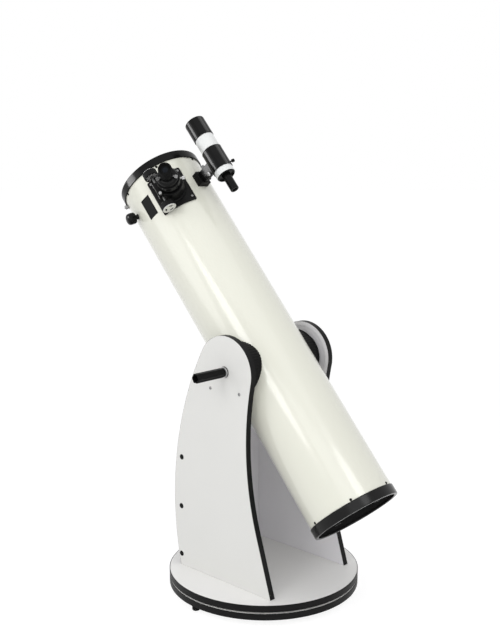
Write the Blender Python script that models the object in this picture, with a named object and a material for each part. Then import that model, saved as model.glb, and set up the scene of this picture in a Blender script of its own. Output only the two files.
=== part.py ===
"""Dobsonian telescope: a white Newtonian tube held in a rocker box that turns on a round ground board.

Metres, +Z up. The origin is on the floor on the azimuth axis, +X lies along the altitude axis
and +Y is the way the tube points. The tube is modelled at ALTITUDE_DEG above the horizon.
"""

import math

import bmesh
import bpy
from mathutils import Matrix, Vector

# Fits: pieces that touch, and pieces that turn or slide.
SEAT_GAP = 0.0003
RUN_GAP = 0.0004

# Ground board, feet and azimuth bearing.
FOOT_HEIGHT = 0.020
FOOT_RADIUS = 0.0105
FOOT_CIRCLE = 0.2425
FOOT_TURN_DEG = 55.0
BOARD_RADIUS = 0.2633
BOARD_THICKNESS = 0.018
EDGE_BAND = 0.0014
RUNNER_HEIGHT = 0.004
RUNNER_RADIUS = 0.250
RUNNER_WIDTH = 0.030
PIVOT_RADIUS = 0.005
PIVOT_HEAD_RADIUS = 0.0085
PIVOT_HEAD_HEIGHT = 0.0055
BUSHING_WALL = 0.003
BUSHING_FLANGE = 0.006
BUSHING_FLANGE_HEIGHT = 0.0025

# Rocker box: two curved side panels and a front board.
PANEL_OUTER_X = 0.161
PANEL_THICKNESS = 0.015
PANEL_TOP_RADIUS = 0.094
PANEL_FRONT_ARC = 0.88
PANEL_FRONT_BULGE_HEIGHT = 0.19
PANEL_REAR_ARC = 0.80
PANEL_WAIST_HEIGHT = 0.40
PANEL_FLARE_DEG = 17.2
FRONT_BOARD_Y = 0.160
FRONT_BOARD_HEIGHT = 0.36
FRONT_BOARD_THICKNESS = 0.015

# Altitude axis, its bearings, posts and tension handles.
ALTITUDE_DEG = 48.7
ALTITUDE_Y = -0.010
ALTITUDE_ABOVE_BOARD = 0.5790
FLANGE_RADIUS = 0.075
FLANGE_STEP = 0.0085
JOURNAL_RADIUS = 0.0625
JOURNAL_END_GAP = 0.001
POST_RADIUS = 0.0095
POST_ANGLE_DEG = 46.0
HANDLE_BOLT_RADIUS = 0.005
HANDLE_WASHER_RADIUS = 0.0145
HANDLE_WASHER_THICKNESS = 0.006
HANDLE_RADIUS = 0.0130
HANDLE_LENGTH = 0.096
HANDLE_HOLE_ROOM = 0.0015

# Optical tube and its end rings, along the tube from the altitude axis.
TUBE_RADIUS = 0.1175
TUBE_WALL = 0.0010
TUBE_TOP = 0.6334
TUBE_BOTTOM = 0.4715
FRONT_RING_WALL = 0.0036
FRONT_RING_LENGTH = 0.024
FRONT_RING_INSET = 0.0050
REAR_RING_WALL = 0.0022
REAR_RING_LENGTH = 0.027
REAR_RING_INSET = 0.0070
RING_LIP = 0.004
RING_CHAMFER = 0.002

# Primary mirror and its cell, behind the altitude axis.
MIRROR_RADIUS = 0.1015
MIRROR_THICKNESS = 0.024
MIRROR_FRONT = -0.400
MIRROR_SAG = 0.0021
CELL_RADIUS = 0.1070
CELL_THICKNESS = 0.006
CLIP_WIDTH = 0.014
CLIP_LIP = 0.004
CLIP_THICKNESS = 0.0025
SPRING_ROOM = 0.010
FRAME_THICKNESS = 0.008
FRAME_RIM = 0.013
FRAME_HUB = 0.030
FRAME_ARM = 0.024
CELL_KNOB_CIRCLE = 0.070
CELL_KNOB_RADIUS = 0.011
CELL_KNOB_HEIGHT = 0.012
CELL_BOLT_RADIUS = 0.003

# Secondary mirror and spider.
SPIDER_AXIAL = 0.601
SPIDER_DEPTH = 0.018
SPIDER_HUB_RADIUS = 0.016
VANE_THICKNESS = 0.0012
SECONDARY_RADIUS = 0.025
SECONDARY_THICKNESS = 0.008
SECONDARY_HOLDER_RADIUS = 0.0235
SECONDARY_HOLDER_TOP = 0.050
SECONDARY_STALK_RADIUS = 0.006

# Focuser: heights are distances from the tube's centre line.
FOCUSER_ANGLE_DEG = 43.0
FOCUSER_AXIAL = 0.5215
FOCUSER_PLATE_LENGTH = 0.107
FOCUSER_PLATE_WIDTH = 0.099
FOCUSER_PLATE_THICKNESS = 0.007
FOCUSER_FOOT_RADIUS = 0.041
FOCUSER_NECK_RADIUS = 0.0355
FOCUSER_TOP = 0.1600
DRAWTUBE_RADIUS = 0.0275
DRAWTUBE_BORE = 0.0254
DRAWTUBE_BOTTOM = 0.1060
COLLAR_BOTTOM = 0.1720
COLLAR_TOP = 0.1880
COLLAR_RADIUS = 0.0320
COLLAR_SCREW_DEG = 23.0
SHAFT_RADIUS = 0.003
SHAFT_HEIGHT = 0.1500
SHAFT_WALL = 0.0006
SHAFT_BOSS_LENGTH = 0.044
SHAFT_BOSS_HALF = 0.0095
FOCUS_KNOB_RADIUS = 0.0200
FOCUS_KNOB_LENGTH = 0.0175
FOCUS_KNOB_ROOM = 0.0030
LOCK_SCREW_PLACE = (-0.0185, 0.0026)

# Eyepiece and its adapter.
BARREL_RADIUS = 0.015875
BARREL_WALL = 0.0012
BARREL_LENGTH = 0.026
ADAPTER_PLUG = 0.016
ADAPTER_FLANGE_RADIUS = 0.0290
ADAPTER_FLANGE_HEIGHT = 0.005
ADAPTER_DOME_RADIUS = 0.0282
ADAPTER_DOME_HEIGHT = 0.0102
ADAPTER_NOSE_RADIUS = 0.0178
ADAPTER_NOSE_HEIGHT = 0.0125
ADAPTER_SCREW_DEG = 45.0
EYEPIECE_RADIUS = 0.0175
EYEPIECE_HEIGHT = 0.0043
CUP_RADIUS = 0.0190
CUP_HEIGHT = 0.0205
CUP_HOLE_RADIUS = 0.0125
CUP_HOLE_DEPTH = 0.008

# Finder scope, its bracket and its shoe.
FINDER_ANGLE_DEG = -3.0
SHOE_AXIAL = 0.525
FINDER_SETBACK = 0.010
FINDER_HEIGHT = 0.2025
FINDER_TUBE_RADIUS = 0.0268
FINDER_TUBE_WALL = 0.0013
FINDER_TUBE_FRONT = 0.085
FINDER_TUBE_REAR = -0.0415
FINDER_CELL_RADIUS = 0.0285
FINDER_CELL_LENGTH = 0.058
FINDER_CELL_WALL = 0.0022
FINDER_LENS_DEPTH = 0.020
FINDER_LENS_THICKNESS = 0.006
FINDER_FLANGE_RADIUS = 0.0235
FINDER_FLANGE_LENGTH = 0.003
FINDER_PLUG_LENGTH = 0.006
FINDER_EYEPIECE_RADIUS = 0.0135
FINDER_EYEPIECE_LENGTH = 0.0465
SLEEVE_RADIUS = 0.0290
SLEEVE_WALL = 0.0014
SLEEVE_FRONT = 0.043
SLEEVE_REAR = -0.0245
ADJUSTER_FROM_REAR = 0.0155
STEM_LENGTH = 0.034
STEM_WIDTH = 0.012
SHOE_LENGTH = 0.038
SHOE_WIDTH = 0.036
SHOE_HEIGHT = 0.017
SLOT_NECK = 0.019
SLOT_FLOOR = 0.025
SLOT_DEPTH = 0.009
SCREW_RADIUS = 0.0022
SCREW_HEAD_RADIUS = 0.0046
SCREW_HEAD_LENGTH = 0.008
SCREW_NECK_LENGTH = 0.0045

# Guide knob on the side of the tube.
KNOB_ANGLE_DEG = 112.0
KNOB_AXIAL = 0.537
KNOB_RADIUS = 0.0165
KNOB_HEIGHT = 0.034

# Sizes that follow from the ones above.
GROUND_TOP = FOOT_HEIGHT + BOARD_THICKNESS
ROCKER_BOTTOM = GROUND_TOP + SEAT_GAP + RUNNER_HEIGHT + SEAT_GAP
ROCKER_TOP = ROCKER_BOTTOM + BOARD_THICKNESS
ALTITUDE_Z = ROCKER_TOP + ALTITUDE_ABOVE_BOARD
PANEL_INNER_X = PANEL_OUTER_X - PANEL_THICKNESS
TUBE_SEAT = TUBE_RADIUS + SEAT_GAP
TUBE_BORE = TUBE_RADIUS - TUBE_WALL
FLANGE_X = TUBE_RADIUS + FLANGE_STEP
JOURNAL_X = PANEL_INNER_X - JOURNAL_END_GAP


def start_empty():
    """Clears the startup scene."""
    for obj in list(bpy.data.objects):
        bpy.data.objects.remove(obj)


def material(name, color, roughness, metallic=0.0):
    made = bpy.data.materials.new(name)
    made.use_nodes = True
    shader = made.node_tree.nodes["Principled BSDF"]
    shader.inputs["Base Color"].default_value = (*color, 1.0)
    shader.inputs["Roughness"].default_value = roughness
    shader.inputs["Metallic"].default_value = metallic
    return made


def frame(name, parent=None, location=(0, 0, 0), rotation=(0, 0, 0)):
    """An empty that holds the pieces of one axis."""
    made = bpy.data.objects.new(name, None)
    bpy.context.collection.objects.link(made)
    made.parent = parent
    made.location = location
    made.rotation_euler = rotation
    return made


def aimed(direction):
    """The rotation that turns +Z to the direction."""
    return Vector(direction).to_track_quat("Z", "Y").to_euler()


def solid(name, bm, mat, parent=None, location=(0, 0, 0), rotation=(0, 0, 0)):
    """A named object from a bmesh, smooth where its faces meet at a small angle."""
    bmesh.ops.recalc_face_normals(bm, faces=bm.faces)
    mesh = bpy.data.meshes.new(name)
    bm.to_mesh(mesh)
    bm.free()
    mesh.shade_smooth()
    mesh.set_sharp_from_angle(angle=math.radians(32))
    mesh.materials.append(mat)
    made = bpy.data.objects.new(name, mesh)
    bpy.context.collection.objects.link(made)
    made.parent = parent
    made.location = location
    made.rotation_euler = rotation
    return made


def combine(target, tool, operation):
    """Joins the tool to the target, or cuts it from the target, and hides the tool."""
    step = target.modifiers.new(tool.name, "BOOLEAN")
    step.operation = operation
    step.solver = "EXACT"
    step.object = tool
    tool.hide_render = True
    tool.display_type = "WIRE"


def lathe(profile, steps):
    """A profile of (radius, z) turned about Z. It closes on itself, or at both ends on the axis."""
    bm = bmesh.new()
    rings = []
    for radius, z in profile:
        if radius == 0:
            rings.append([bm.verts.new((0, 0, z))])
            continue
        turns = [2 * math.pi * i / steps for i in range(steps)]
        rings.append([bm.verts.new((radius * math.cos(t), radius * math.sin(t), z)) for t in turns])
    pairs = list(zip(rings, rings[1:]))
    if len(rings[0]) > 1:
        pairs.append((rings[-1], rings[0]))
    for low, high in pairs:
        for i in range(steps):
            j = (i + 1) % steps
            if len(low) == 1:
                bm.faces.new((low[0], high[j], high[i]))
            elif len(high) == 1:
                bm.faces.new((low[i], low[j], high[0]))
            else:
                bm.faces.new((low[i], low[j], high[j], high[i]))
    return bm


def prism(outline, low, high, along="Z"):
    """An outline of two coordinates extruded along Z, or along X with the outline in Y and Z."""
    def point(u, v, w):
        return (u, v, w) if along == "Z" else (w, u, v)

    bm = bmesh.new()
    bottom = [bm.verts.new(point(u, v, low)) for u, v in outline]
    top = [bm.verts.new(point(u, v, high)) for u, v in outline]
    bm.faces.new(bottom)
    bm.faces.new(top)
    for i in range(len(outline)):
        j = (i + 1) % len(outline)
        bm.faces.new((bottom[i], bottom[j], top[j], top[i]))
    return bm


def box(low, high):
    x0, y0, z0 = low
    x1, y1, z1 = high
    return prism([(x0, y0), (x1, y0), (x1, y1), (x0, y1)], z0, z1)


def ring_band(inner, outer, low, high, steps):
    return lathe([(inner, low), (outer, low), (outer, high), (inner, high)], steps)


def cut_away(bm, point, normal):
    """Removes what lies on the normal's side of the plane and closes the cut."""
    parts = bm.verts[:] + bm.edges[:] + bm.faces[:]
    cut = bmesh.ops.bisect_plane(bm, geom=parts, plane_co=point, plane_no=normal, clear_outer=True)
    edges = [item for item in cut["geom_cut"] if isinstance(item, bmesh.types.BMEdge)]
    bmesh.ops.edgenet_fill(bm, edges=edges)


def arc(centre, radius, start, end, steps):
    """Points on a circle, from one angle to another in radians."""
    turns = [start + (end - start) * i / steps for i in range(steps + 1)]
    return [(centre[0] + radius * math.cos(t), centre[1] + radius * math.sin(t)) for t in turns]


def disc(radius, low, high, steps):
    """A round plate with one flat face at each end."""
    last = 2 * math.pi * (steps - 1) / steps
    return prism(arc((0, 0), radius, 0, last, steps - 1), low, high)


def thumbscrew(name, mat, parent, location, direction):
    """A knurled head on a plain neck, pointing away from the piece that it grips."""
    neck = SCREW_NECK_LENGTH
    head = neck + SCREW_HEAD_LENGTH
    chamfer = 0.15 * SCREW_HEAD_RADIUS
    profile = [
        (0, 0),
        (SCREW_RADIUS, 0),
        (SCREW_RADIUS, neck),
        (SCREW_HEAD_RADIUS, neck),
        (SCREW_HEAD_RADIUS, head - chamfer),
        (SCREW_HEAD_RADIUS - chamfer, head),
        (0, head),
    ]
    return solid(name, lathe(profile, 12), mat, parent, location, aimed(direction))


start_empty()
WHITE_BOARD = material("white_laminate", (0.80, 0.80, 0.78), 0.45)
BLACK_EDGE = material("black_edge_band", (0.02, 0.02, 0.02), 0.45)
WHITE_PAINT = material("white_paint", (0.87, 0.87, 0.82), 0.20)
BLACK_PLASTIC = material("black_plastic", (0.02, 0.02, 0.02), 0.40)
BLACK_METAL = material("black_metal", (0.015, 0.015, 0.015), 0.35, 0.6)
RUBBER = material("rubber", (0.015, 0.015, 0.015), 0.80)
STEEL = material("steel", (0.62, 0.62, 0.62), 0.30, 1.0)
CHROME = material("chrome", (0.80, 0.80, 0.80), 0.12, 1.0)
NYLON = material("nylon", (0.85, 0.85, 0.82), 0.50)
ALUMINIUM = material("aluminium", (0.60, 0.60, 0.60), 0.35, 1.0)
MIRROR = material("mirror", (0.90, 0.90, 0.92), 0.03, 1.0)
GLASS = material("glass", (0.35, 0.42, 0.48), 0.05)


# Ground board, its edge band and the pieces that carry the azimuth turn.
BOARD_CORE = BOARD_RADIUS - EDGE_BAND - SEAT_GAP
ground_hole = PIVOT_RADIUS + SEAT_GAP
solid(
    "ground_board",
    ring_band(ground_hole, BOARD_CORE, FOOT_HEIGHT, GROUND_TOP, 48),
    WHITE_BOARD,
)
solid(
    "ground_board_edge",
    ring_band(BOARD_RADIUS - EDGE_BAND, BOARD_RADIUS, FOOT_HEIGHT, GROUND_TOP, 48),
    BLACK_EDGE,
)
for number in range(3):
    turn = math.radians(FOOT_TURN_DEG + 120 * number)
    spot = Vector((math.cos(turn), math.sin(turn), 0))
    foot_top = FOOT_HEIGHT - SEAT_GAP
    foot_profile = [
        (0, 0),
        (0.85 * FOOT_RADIUS, 0),
        (FOOT_RADIUS, 0.15 * FOOT_HEIGHT),
        (FOOT_RADIUS, foot_top),
        (0, foot_top),
    ]
    solid(f"foot_{number + 1}", lathe(foot_profile, 24), RUBBER, None, spot * FOOT_CIRCLE)

runner_low = GROUND_TOP + SEAT_GAP
solid(
    "azimuth_runner",
    ring_band(RUNNER_RADIUS - RUNNER_WIDTH, RUNNER_RADIUS, runner_low, runner_low + RUNNER_HEIGHT, 48),
    NYLON,
)

flange_top = ROCKER_TOP + SEAT_GAP + BUSHING_FLANGE_HEIGHT
bolt_top = flange_top + SEAT_GAP + 1.5 * PIVOT_HEAD_HEIGHT
head_top = FOOT_HEIGHT - SEAT_GAP
pivot_profile = [
    (0, head_top - PIVOT_HEAD_HEIGHT),
    (PIVOT_HEAD_RADIUS, head_top - PIVOT_HEAD_HEIGHT),
    (PIVOT_HEAD_RADIUS, head_top),
    (PIVOT_RADIUS, head_top),
    (PIVOT_RADIUS, bolt_top),
    (0, bolt_top),
]
solid("azimuth_pivot_bolt", lathe(pivot_profile, 24), STEEL)
nut_low = flange_top + SEAT_GAP
nut = solid(
    "azimuth_pivot_nut",
    disc(PIVOT_HEAD_RADIUS, nut_low, nut_low + PIVOT_HEAD_HEIGHT, 6),
    STEEL,
)
nut_hole = disc(PIVOT_RADIUS + SEAT_GAP, nut_low - 0.01, nut_low + PIVOT_HEAD_HEIGHT + 0.01, 24)
combine(nut, solid("nut_hole_cutter", nut_hole, STEEL), "DIFFERENCE")


# Rocker box on the turning board.
bushing_bore = PIVOT_RADIUS + RUN_GAP
bushing_outer = bushing_bore + BUSHING_WALL
solid(
    "rocker_board",
    ring_band(bushing_outer + SEAT_GAP, BOARD_CORE, ROCKER_BOTTOM, ROCKER_TOP, 48),
    WHITE_BOARD,
)
solid(
    "rocker_board_edge",
    ring_band(BOARD_RADIUS - EDGE_BAND, BOARD_RADIUS, ROCKER_BOTTOM, ROCKER_TOP, 48),
    BLACK_EDGE,
)
bushing_profile = [
    (bushing_bore, ROCKER_BOTTOM),
    (bushing_outer, ROCKER_BOTTOM),
    (bushing_outer, ROCKER_TOP + SEAT_GAP),
    (bushing_outer + BUSHING_FLANGE, ROCKER_TOP + SEAT_GAP),
    (bushing_outer + BUSHING_FLANGE, flange_top),
    (bushing_bore, flange_top),
]
solid("pivot_bushing", lathe(bushing_profile, 20), NYLON)


def panel_path(inset):
    """The side panel's edge in Y and Z, from its front foot over the top to its rear foot.

    Three arcs meet in tangents round the altitude axis, and a straight flare ends at the board.
    """
    axis_y = 0.0
    axis_z = ALTITUDE_ABOVE_BOARD
    rise = axis_z - PANEL_FRONT_BULGE_HEIGHT
    reach = PANEL_FRONT_ARC - PANEL_TOP_RADIUS
    front_centre = (axis_y - math.sqrt(reach**2 - rise**2), PANEL_FRONT_BULGE_HEIGHT)
    front_end = math.atan2(rise, axis_y - front_centre[0])
    drop = axis_z - PANEL_WAIST_HEIGHT
    span = PANEL_REAR_ARC + PANEL_TOP_RADIUS
    rear_centre = (axis_y - math.sqrt(span**2 - drop**2), PANEL_WAIST_HEIGHT)
    rear_start = math.atan2(drop, axis_y - rear_centre[0])
    flare = math.radians(PANEL_FLARE_DEG)

    front_radius = PANEL_FRONT_ARC - inset
    rear_radius = PANEL_REAR_ARC + inset
    front_low = -math.asin(PANEL_FRONT_BULGE_HEIGHT / front_radius)
    path = arc(front_centre, front_radius, front_low, front_end, 14)
    top = arc((axis_y, axis_z), PANEL_TOP_RADIUS - inset, front_end, math.pi + rear_start, 20)
    rear = arc(rear_centre, rear_radius, rear_start, -flare, 12)
    path = path + top[1:] + rear[1:]
    last = path[-1]
    path.append((last[0] - last[1] * math.tan(flare), 0.0))
    return path


PANEL_TURN = (math.pi / 2, 0, math.pi / 2)
for side, sign in (("left", -1), ("right", 1)):
    near, far = sorted((sign * PANEL_INNER_X, sign * PANEL_OUTER_X))
    seat = (0, ALTITUDE_Y, ROCKER_TOP + SEAT_GAP)
    core = panel_path(EDGE_BAND + SEAT_GAP)
    panel = solid(f"{side}_side_panel", prism(core, near, far), WHITE_BOARD, None, seat, PANEL_TURN)
    band = panel_path(0) + panel_path(EDGE_BAND)[::-1]
    solid(f"{side}_panel_edge", prism(band, near, far), BLACK_EDGE, None, seat, PANEL_TURN)
    axis_frame = frame(f"{side}_handle_axis", None, (0, ALTITUDE_Y, ALTITUDE_Z), aimed((sign, 0, 0)))
    hole = disc(HANDLE_BOLT_RADIUS + HANDLE_HOLE_ROOM, PANEL_INNER_X - 0.01, PANEL_OUTER_X + 0.01, 24)
    combine(panel, solid(f"{side}_hole_cutter", hole, STEEL, axis_frame), "DIFFERENCE")

    washer_low = PANEL_OUTER_X + SEAT_GAP
    washer_high = washer_low + HANDLE_WASHER_THICKNESS
    bolt_end = FLANGE_X + RUN_GAP
    bolt_profile = [
        (0, bolt_end),
        (HANDLE_BOLT_RADIUS, bolt_end),
        (HANDLE_BOLT_RADIUS, washer_low),
        (HANDLE_WASHER_RADIUS, washer_low),
        (HANDLE_WASHER_RADIUS, washer_high),
        (0, washer_high),
    ]
    solid(f"{side}_handle_bolt", lathe(bolt_profile, 24), STEEL, axis_frame)
    grip_low = washer_high + SEAT_GAP
    grip_high = grip_low + HANDLE_LENGTH
    grip_profile = [
        (0, grip_low),
        (HANDLE_RADIUS, grip_low),
        (HANDLE_RADIUS, grip_high - 0.35 * HANDLE_RADIUS),
        (0.65 * HANDLE_RADIUS, grip_high),
        (0, grip_high),
    ]
    solid(f"{side}_handle_grip", lathe(grip_profile, 18), BLACK_PLASTIC, axis_frame)

    post_reach = JOURNAL_RADIUS + SEAT_GAP + POST_RADIUS
    for place, way in (("front", 1), ("rear", -1)):
        lean = math.radians(POST_ANGLE_DEG)
        post_y = ALTITUDE_Y + way * post_reach * math.sin(lean)
        post_z = ALTITUDE_Z - post_reach * math.cos(lean)
        post = disc(POST_RADIUS, FLANGE_X + RUN_GAP, PANEL_INNER_X - SEAT_GAP, 24)
        solid(f"{side}_{place}_post", post, NYLON, None, (0, post_y, post_z), aimed((sign, 0, 0)))

board_half = PANEL_INNER_X - SEAT_GAP
board_low = (-board_half, FRONT_BOARD_Y - FRONT_BOARD_THICKNESS / 2, ROCKER_TOP + SEAT_GAP)
board_high = (board_half, FRONT_BOARD_Y + FRONT_BOARD_THICKNESS / 2, ROCKER_TOP + FRONT_BOARD_HEIGHT)
solid("front_board", box(board_low, board_high), WHITE_BOARD)


# Optical tube. Its frame has Z along the tube to the sky and -Y on the upper side.
tube_frame = frame(
    "altitude_axis",
    None,
    (0, ALTITUDE_Y, ALTITUDE_Z),
    (math.radians(ALTITUDE_DEG - 90), 0, 0),
)
tube_low = -TUBE_BOTTOM + RING_LIP + SEAT_GAP
tube_high = TUBE_TOP - RING_LIP - SEAT_GAP
tube = solid(
    "tube",
    ring_band(TUBE_BORE, TUBE_RADIUS, tube_low, tube_high, 64),
    WHITE_PAINT,
    tube_frame,
)
tube_cutter = solid(
    "tube_cutter",
    disc(TUBE_SEAT, -TUBE_BOTTOM - 0.05, TUBE_TOP + 0.05, 64),
    STEEL,
    tube_frame,
)


def end_ring(name, wall, length, inset, end):
    """A cap ring over one end of the tube: a sleeve outside it and a lip across its edge."""
    way = 1 if end > 0 else -1
    radius = TUBE_SEAT + wall
    mouth = TUBE_RADIUS - inset
    profile = [
        (TUBE_SEAT, end - way * length),
        (radius, end - way * length),
        (radius, end - way * RING_CHAMFER),
        (radius - RING_CHAMFER, end),
        (mouth, end),
        (mouth, end - way * RING_LIP),
        (TUBE_SEAT, end - way * RING_LIP),
    ]
    solid(name, lathe(profile, 48), BLACK_PLASTIC, tube_frame)


end_ring("front_ring", FRONT_RING_WALL, FRONT_RING_LENGTH, FRONT_RING_INSET, TUBE_TOP)
end_ring("rear_ring", REAR_RING_WALL, REAR_RING_LENGTH, REAR_RING_INSET, -TUBE_BOTTOM)

for side, sign in (("left", -1), ("right", 1)):
    saddle_depth = math.sqrt(TUBE_SEAT**2 - FLANGE_RADIUS**2) - 0.005
    socket = HANDLE_BOLT_RADIUS + RUN_GAP
    bearing_profile = [
        (0, saddle_depth),
        (FLANGE_RADIUS, saddle_depth),
        (FLANGE_RADIUS, FLANGE_X),
        (JOURNAL_RADIUS, FLANGE_X),
        (JOURNAL_RADIUS, JOURNAL_X),
        (socket, JOURNAL_X),
        (socket, FLANGE_X),
        (0, FLANGE_X),
    ]
    bearing = solid(
        f"{side}_altitude_bearing",
        lathe(bearing_profile, 40),
        BLACK_PLASTIC,
        tube_frame,
        (0, 0, 0),
        aimed((sign, 0, 0)),
    )
    combine(bearing, tube_cutter, "DIFFERENCE")


# Primary mirror on a tilting cell, in front of a three-armed frame.
mirror_back = MIRROR_FRONT - MIRROR_THICKNESS
mirror_profile = [(0, mirror_back), (MIRROR_RADIUS, mirror_back), (MIRROR_RADIUS, MIRROR_FRONT)]
for share in (0.75, 0.5, 0.25, 0.0):
    mirror_profile.append((MIRROR_RADIUS * share, MIRROR_FRONT - MIRROR_SAG * (1 - share**2)))
solid("primary_mirror", lathe(mirror_profile, 40), MIRROR, tube_frame)

cell_top = mirror_back - SEAT_GAP
cell_low = cell_top - CELL_THICKNESS
cell = solid("mirror_cell_plate", disc(CELL_RADIUS, cell_low, cell_top, 45), ALUMINIUM, tube_frame)
frame_high = cell_low - SPRING_ROOM
frame_low = frame_high - FRAME_THICKNESS
for number in range(3):
    turn = math.radians(90 + 120 * number)
    lip_low = MIRROR_FRONT + SEAT_GAP
    lip_high = lip_low + CLIP_THICKNESS
    inner = MIRROR_RADIUS + SEAT_GAP
    clip_outline = [
        (inner, cell_top - 0.5 * CELL_THICKNESS),
        (CELL_RADIUS - 0.001, cell_top - 0.5 * CELL_THICKNESS),
        (CELL_RADIUS - 0.001, lip_high),
        (MIRROR_RADIUS - CLIP_LIP, lip_high),
        (MIRROR_RADIUS - CLIP_LIP, lip_low),
        (inner, lip_low),
    ]
    clip = solid(
        f"clip_{number + 1}_join",
        prism(clip_outline, -CLIP_WIDTH / 2, CLIP_WIDTH / 2, "X"),
        ALUMINIUM,
        tube_frame,
        (0, 0, 0),
        (0, 0, turn),
    )
    combine(cell, clip, "UNION")

frame_outer = TUBE_BORE - SEAT_GAP
cell_frame = solid(
    "mirror_cell_frame",
    disc(frame_outer, frame_low, frame_high, 40),
    BLACK_METAL,
    tube_frame,
)
window_outer = frame_outer - FRAME_RIM
for number in range(3):
    middle = math.radians(150 + 120 * number)
    outer_half = math.radians(60) - math.asin(FRAME_ARM / 2 / window_outer)
    inner_half = math.radians(60) - math.asin(FRAME_ARM / 2 / FRAME_HUB)
    window = arc((0, 0), window_outer, middle - outer_half, middle + outer_half, 8)
    window += arc((0, 0), FRAME_HUB, middle + inner_half, middle - inner_half, 3)
    cutter = solid(
        f"window_{number + 1}_cutter",
        prism(window, frame_low - 0.01, frame_high + 0.01),
        STEEL,
        tube_frame,
    )
    combine(cell_frame, cutter, "DIFFERENCE")

for number in range(3):
    turn = math.radians(90 + 120 * number)
    spot = (CELL_KNOB_CIRCLE * math.cos(turn), CELL_KNOB_CIRCLE * math.sin(turn), 0)
    knob_frame = frame(f"cell_knob_axis_{number + 1}", tube_frame, spot)
    hole = disc(CELL_BOLT_RADIUS + RUN_GAP, frame_low - 0.01, frame_high + 0.01, 12)
    combine(cell_frame, solid(f"knob_hole_{number + 1}_cutter", hole, STEEL, knob_frame), "DIFFERENCE")
    thread = disc(CELL_BOLT_RADIUS + 2 * RUN_GAP, cell_low - 0.01, cell_top + 0.01, 12)
    combine(cell, solid(f"thread_{number + 1}_cutter", thread, STEEL, knob_frame), "DIFFERENCE")
    bolt_tip = cell_low + 0.5 * CELL_THICKNESS
    knob_top = frame_low - SEAT_GAP
    knob_low = knob_top - CELL_KNOB_HEIGHT
    knob_profile = [
        (0, knob_low),
        (CELL_KNOB_RADIUS - 0.0015, knob_low),
        (CELL_KNOB_RADIUS, knob_low + 0.0015),
        (CELL_KNOB_RADIUS, knob_top),
        (CELL_BOLT_RADIUS, knob_top),
        (CELL_BOLT_RADIUS, bolt_tip),
        (0, bolt_tip),
    ]
    solid(f"collimation_knob_{number + 1}", lathe(knob_profile, 16), BLACK_PLASTIC, knob_frame)


# Secondary mirror, its holder and the spider. X of this frame points at the focuser.
TO_FOCUSER = -math.radians(90 + FOCUSER_ANGLE_DEG)
secondary_frame = frame("secondary_axis", tube_frame, (0, 0, FOCUSER_AXIAL), (0, 0, TO_FOCUSER))
face_normal = Vector((1, 0, -1)).normalized()
flat = disc(SECONDARY_RADIUS, -3 * SECONDARY_RADIUS, 3 * SECONDARY_RADIUS, 24)
cut_away(flat, (0, 0, 0), face_normal)
cut_away(flat, face_normal * -SECONDARY_THICKNESS, -face_normal)
solid("secondary_mirror", flat, MIRROR, secondary_frame)
spider_low = SPIDER_AXIAL - SPIDER_DEPTH / 2
stalk_top = spider_low - FOCUSER_AXIAL - SEAT_GAP
holder_profile = [
    (0, -2 * SECONDARY_RADIUS),
    (SECONDARY_HOLDER_RADIUS, -2 * SECONDARY_RADIUS),
    (SECONDARY_HOLDER_RADIUS, SECONDARY_HOLDER_TOP),
    (SECONDARY_STALK_RADIUS, SECONDARY_HOLDER_TOP),
    (SECONDARY_STALK_RADIUS, stalk_top),
    (0, stalk_top),
]
holder = lathe(holder_profile, 24)
cut_away(holder, face_normal * -(SECONDARY_THICKNESS + SEAT_GAP), face_normal)
solid("secondary_holder", holder, BLACK_PLASTIC, secondary_frame)

vane_tip = TUBE_BORE - SEAT_GAP
half_vane = VANE_THICKNESS / 2
root = math.asin(half_vane / SPIDER_HUB_RADIUS)
spider_outline = []
for number in range(4):
    turn = math.pi / 2 * number
    along = Vector((math.cos(turn), math.sin(turn)))
    across = Vector((-math.sin(turn), math.cos(turn)))
    spider_outline.append(tuple(along * vane_tip - across * half_vane))
    spider_outline.append(tuple(along * vane_tip + across * half_vane))
    spider_outline += arc((0, 0), SPIDER_HUB_RADIUS, turn + root, turn + math.pi / 2 - root, 6)
solid(
    "spider",
    prism(spider_outline, spider_low, spider_low + SPIDER_DEPTH),
    BLACK_METAL,
    tube_frame,
    (0, 0, 0),
    (0, 0, TO_FOCUSER),
)


def radial_frame(name, axial, angle_deg):
    """A frame on the tube's centre line: X along the tube to the sky, Z out through its wall."""
    angle = math.radians(angle_deg)
    out = Vector((-math.sin(angle), -math.cos(angle), 0))
    along = Vector((0, 0, 1))
    turn = Matrix((along, out.cross(along), out)).transposed().to_euler()
    return frame(name, tube_frame, (0, 0, axial), turn)


# Focuser: a saddle plate with a conical body, and a drawtube driven by a cross shaft.
focuser_frame = radial_frame("focuser_axis", FOCUSER_AXIAL, FOCUSER_ANGLE_DEG)
half_angle = math.asin(FOCUSER_PLATE_WIDTH / 2 / (TUBE_SEAT + FOCUSER_PLATE_THICKNESS))
outer_arc = arc(
    (0, 0),
    TUBE_SEAT + FOCUSER_PLATE_THICKNESS,
    math.pi / 2 - half_angle,
    math.pi / 2 + half_angle,
    12,
)
deep = 0.75 * TUBE_SEAT
saddle_outline = outer_arc + [(-FOCUSER_PLATE_WIDTH / 2, deep), (FOCUSER_PLATE_WIDTH / 2, deep)]
focuser_base = solid(
    "focuser_base",
    prism(saddle_outline, -FOCUSER_PLATE_LENGTH / 2, FOCUSER_PLATE_LENGTH / 2, "X"),
    BLACK_METAL,
    focuser_frame,
)
body_low = TUBE_SEAT - 0.010
body_shoulder = TUBE_SEAT + FOCUSER_PLATE_THICKNESS + 0.004
body_profile = [
    (0, body_low),
    (FOCUSER_FOOT_RADIUS, body_low),
    (FOCUSER_FOOT_RADIUS, body_shoulder),
    (FOCUSER_NECK_RADIUS, FOCUSER_TOP),
    (0, FOCUSER_TOP),
]
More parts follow.
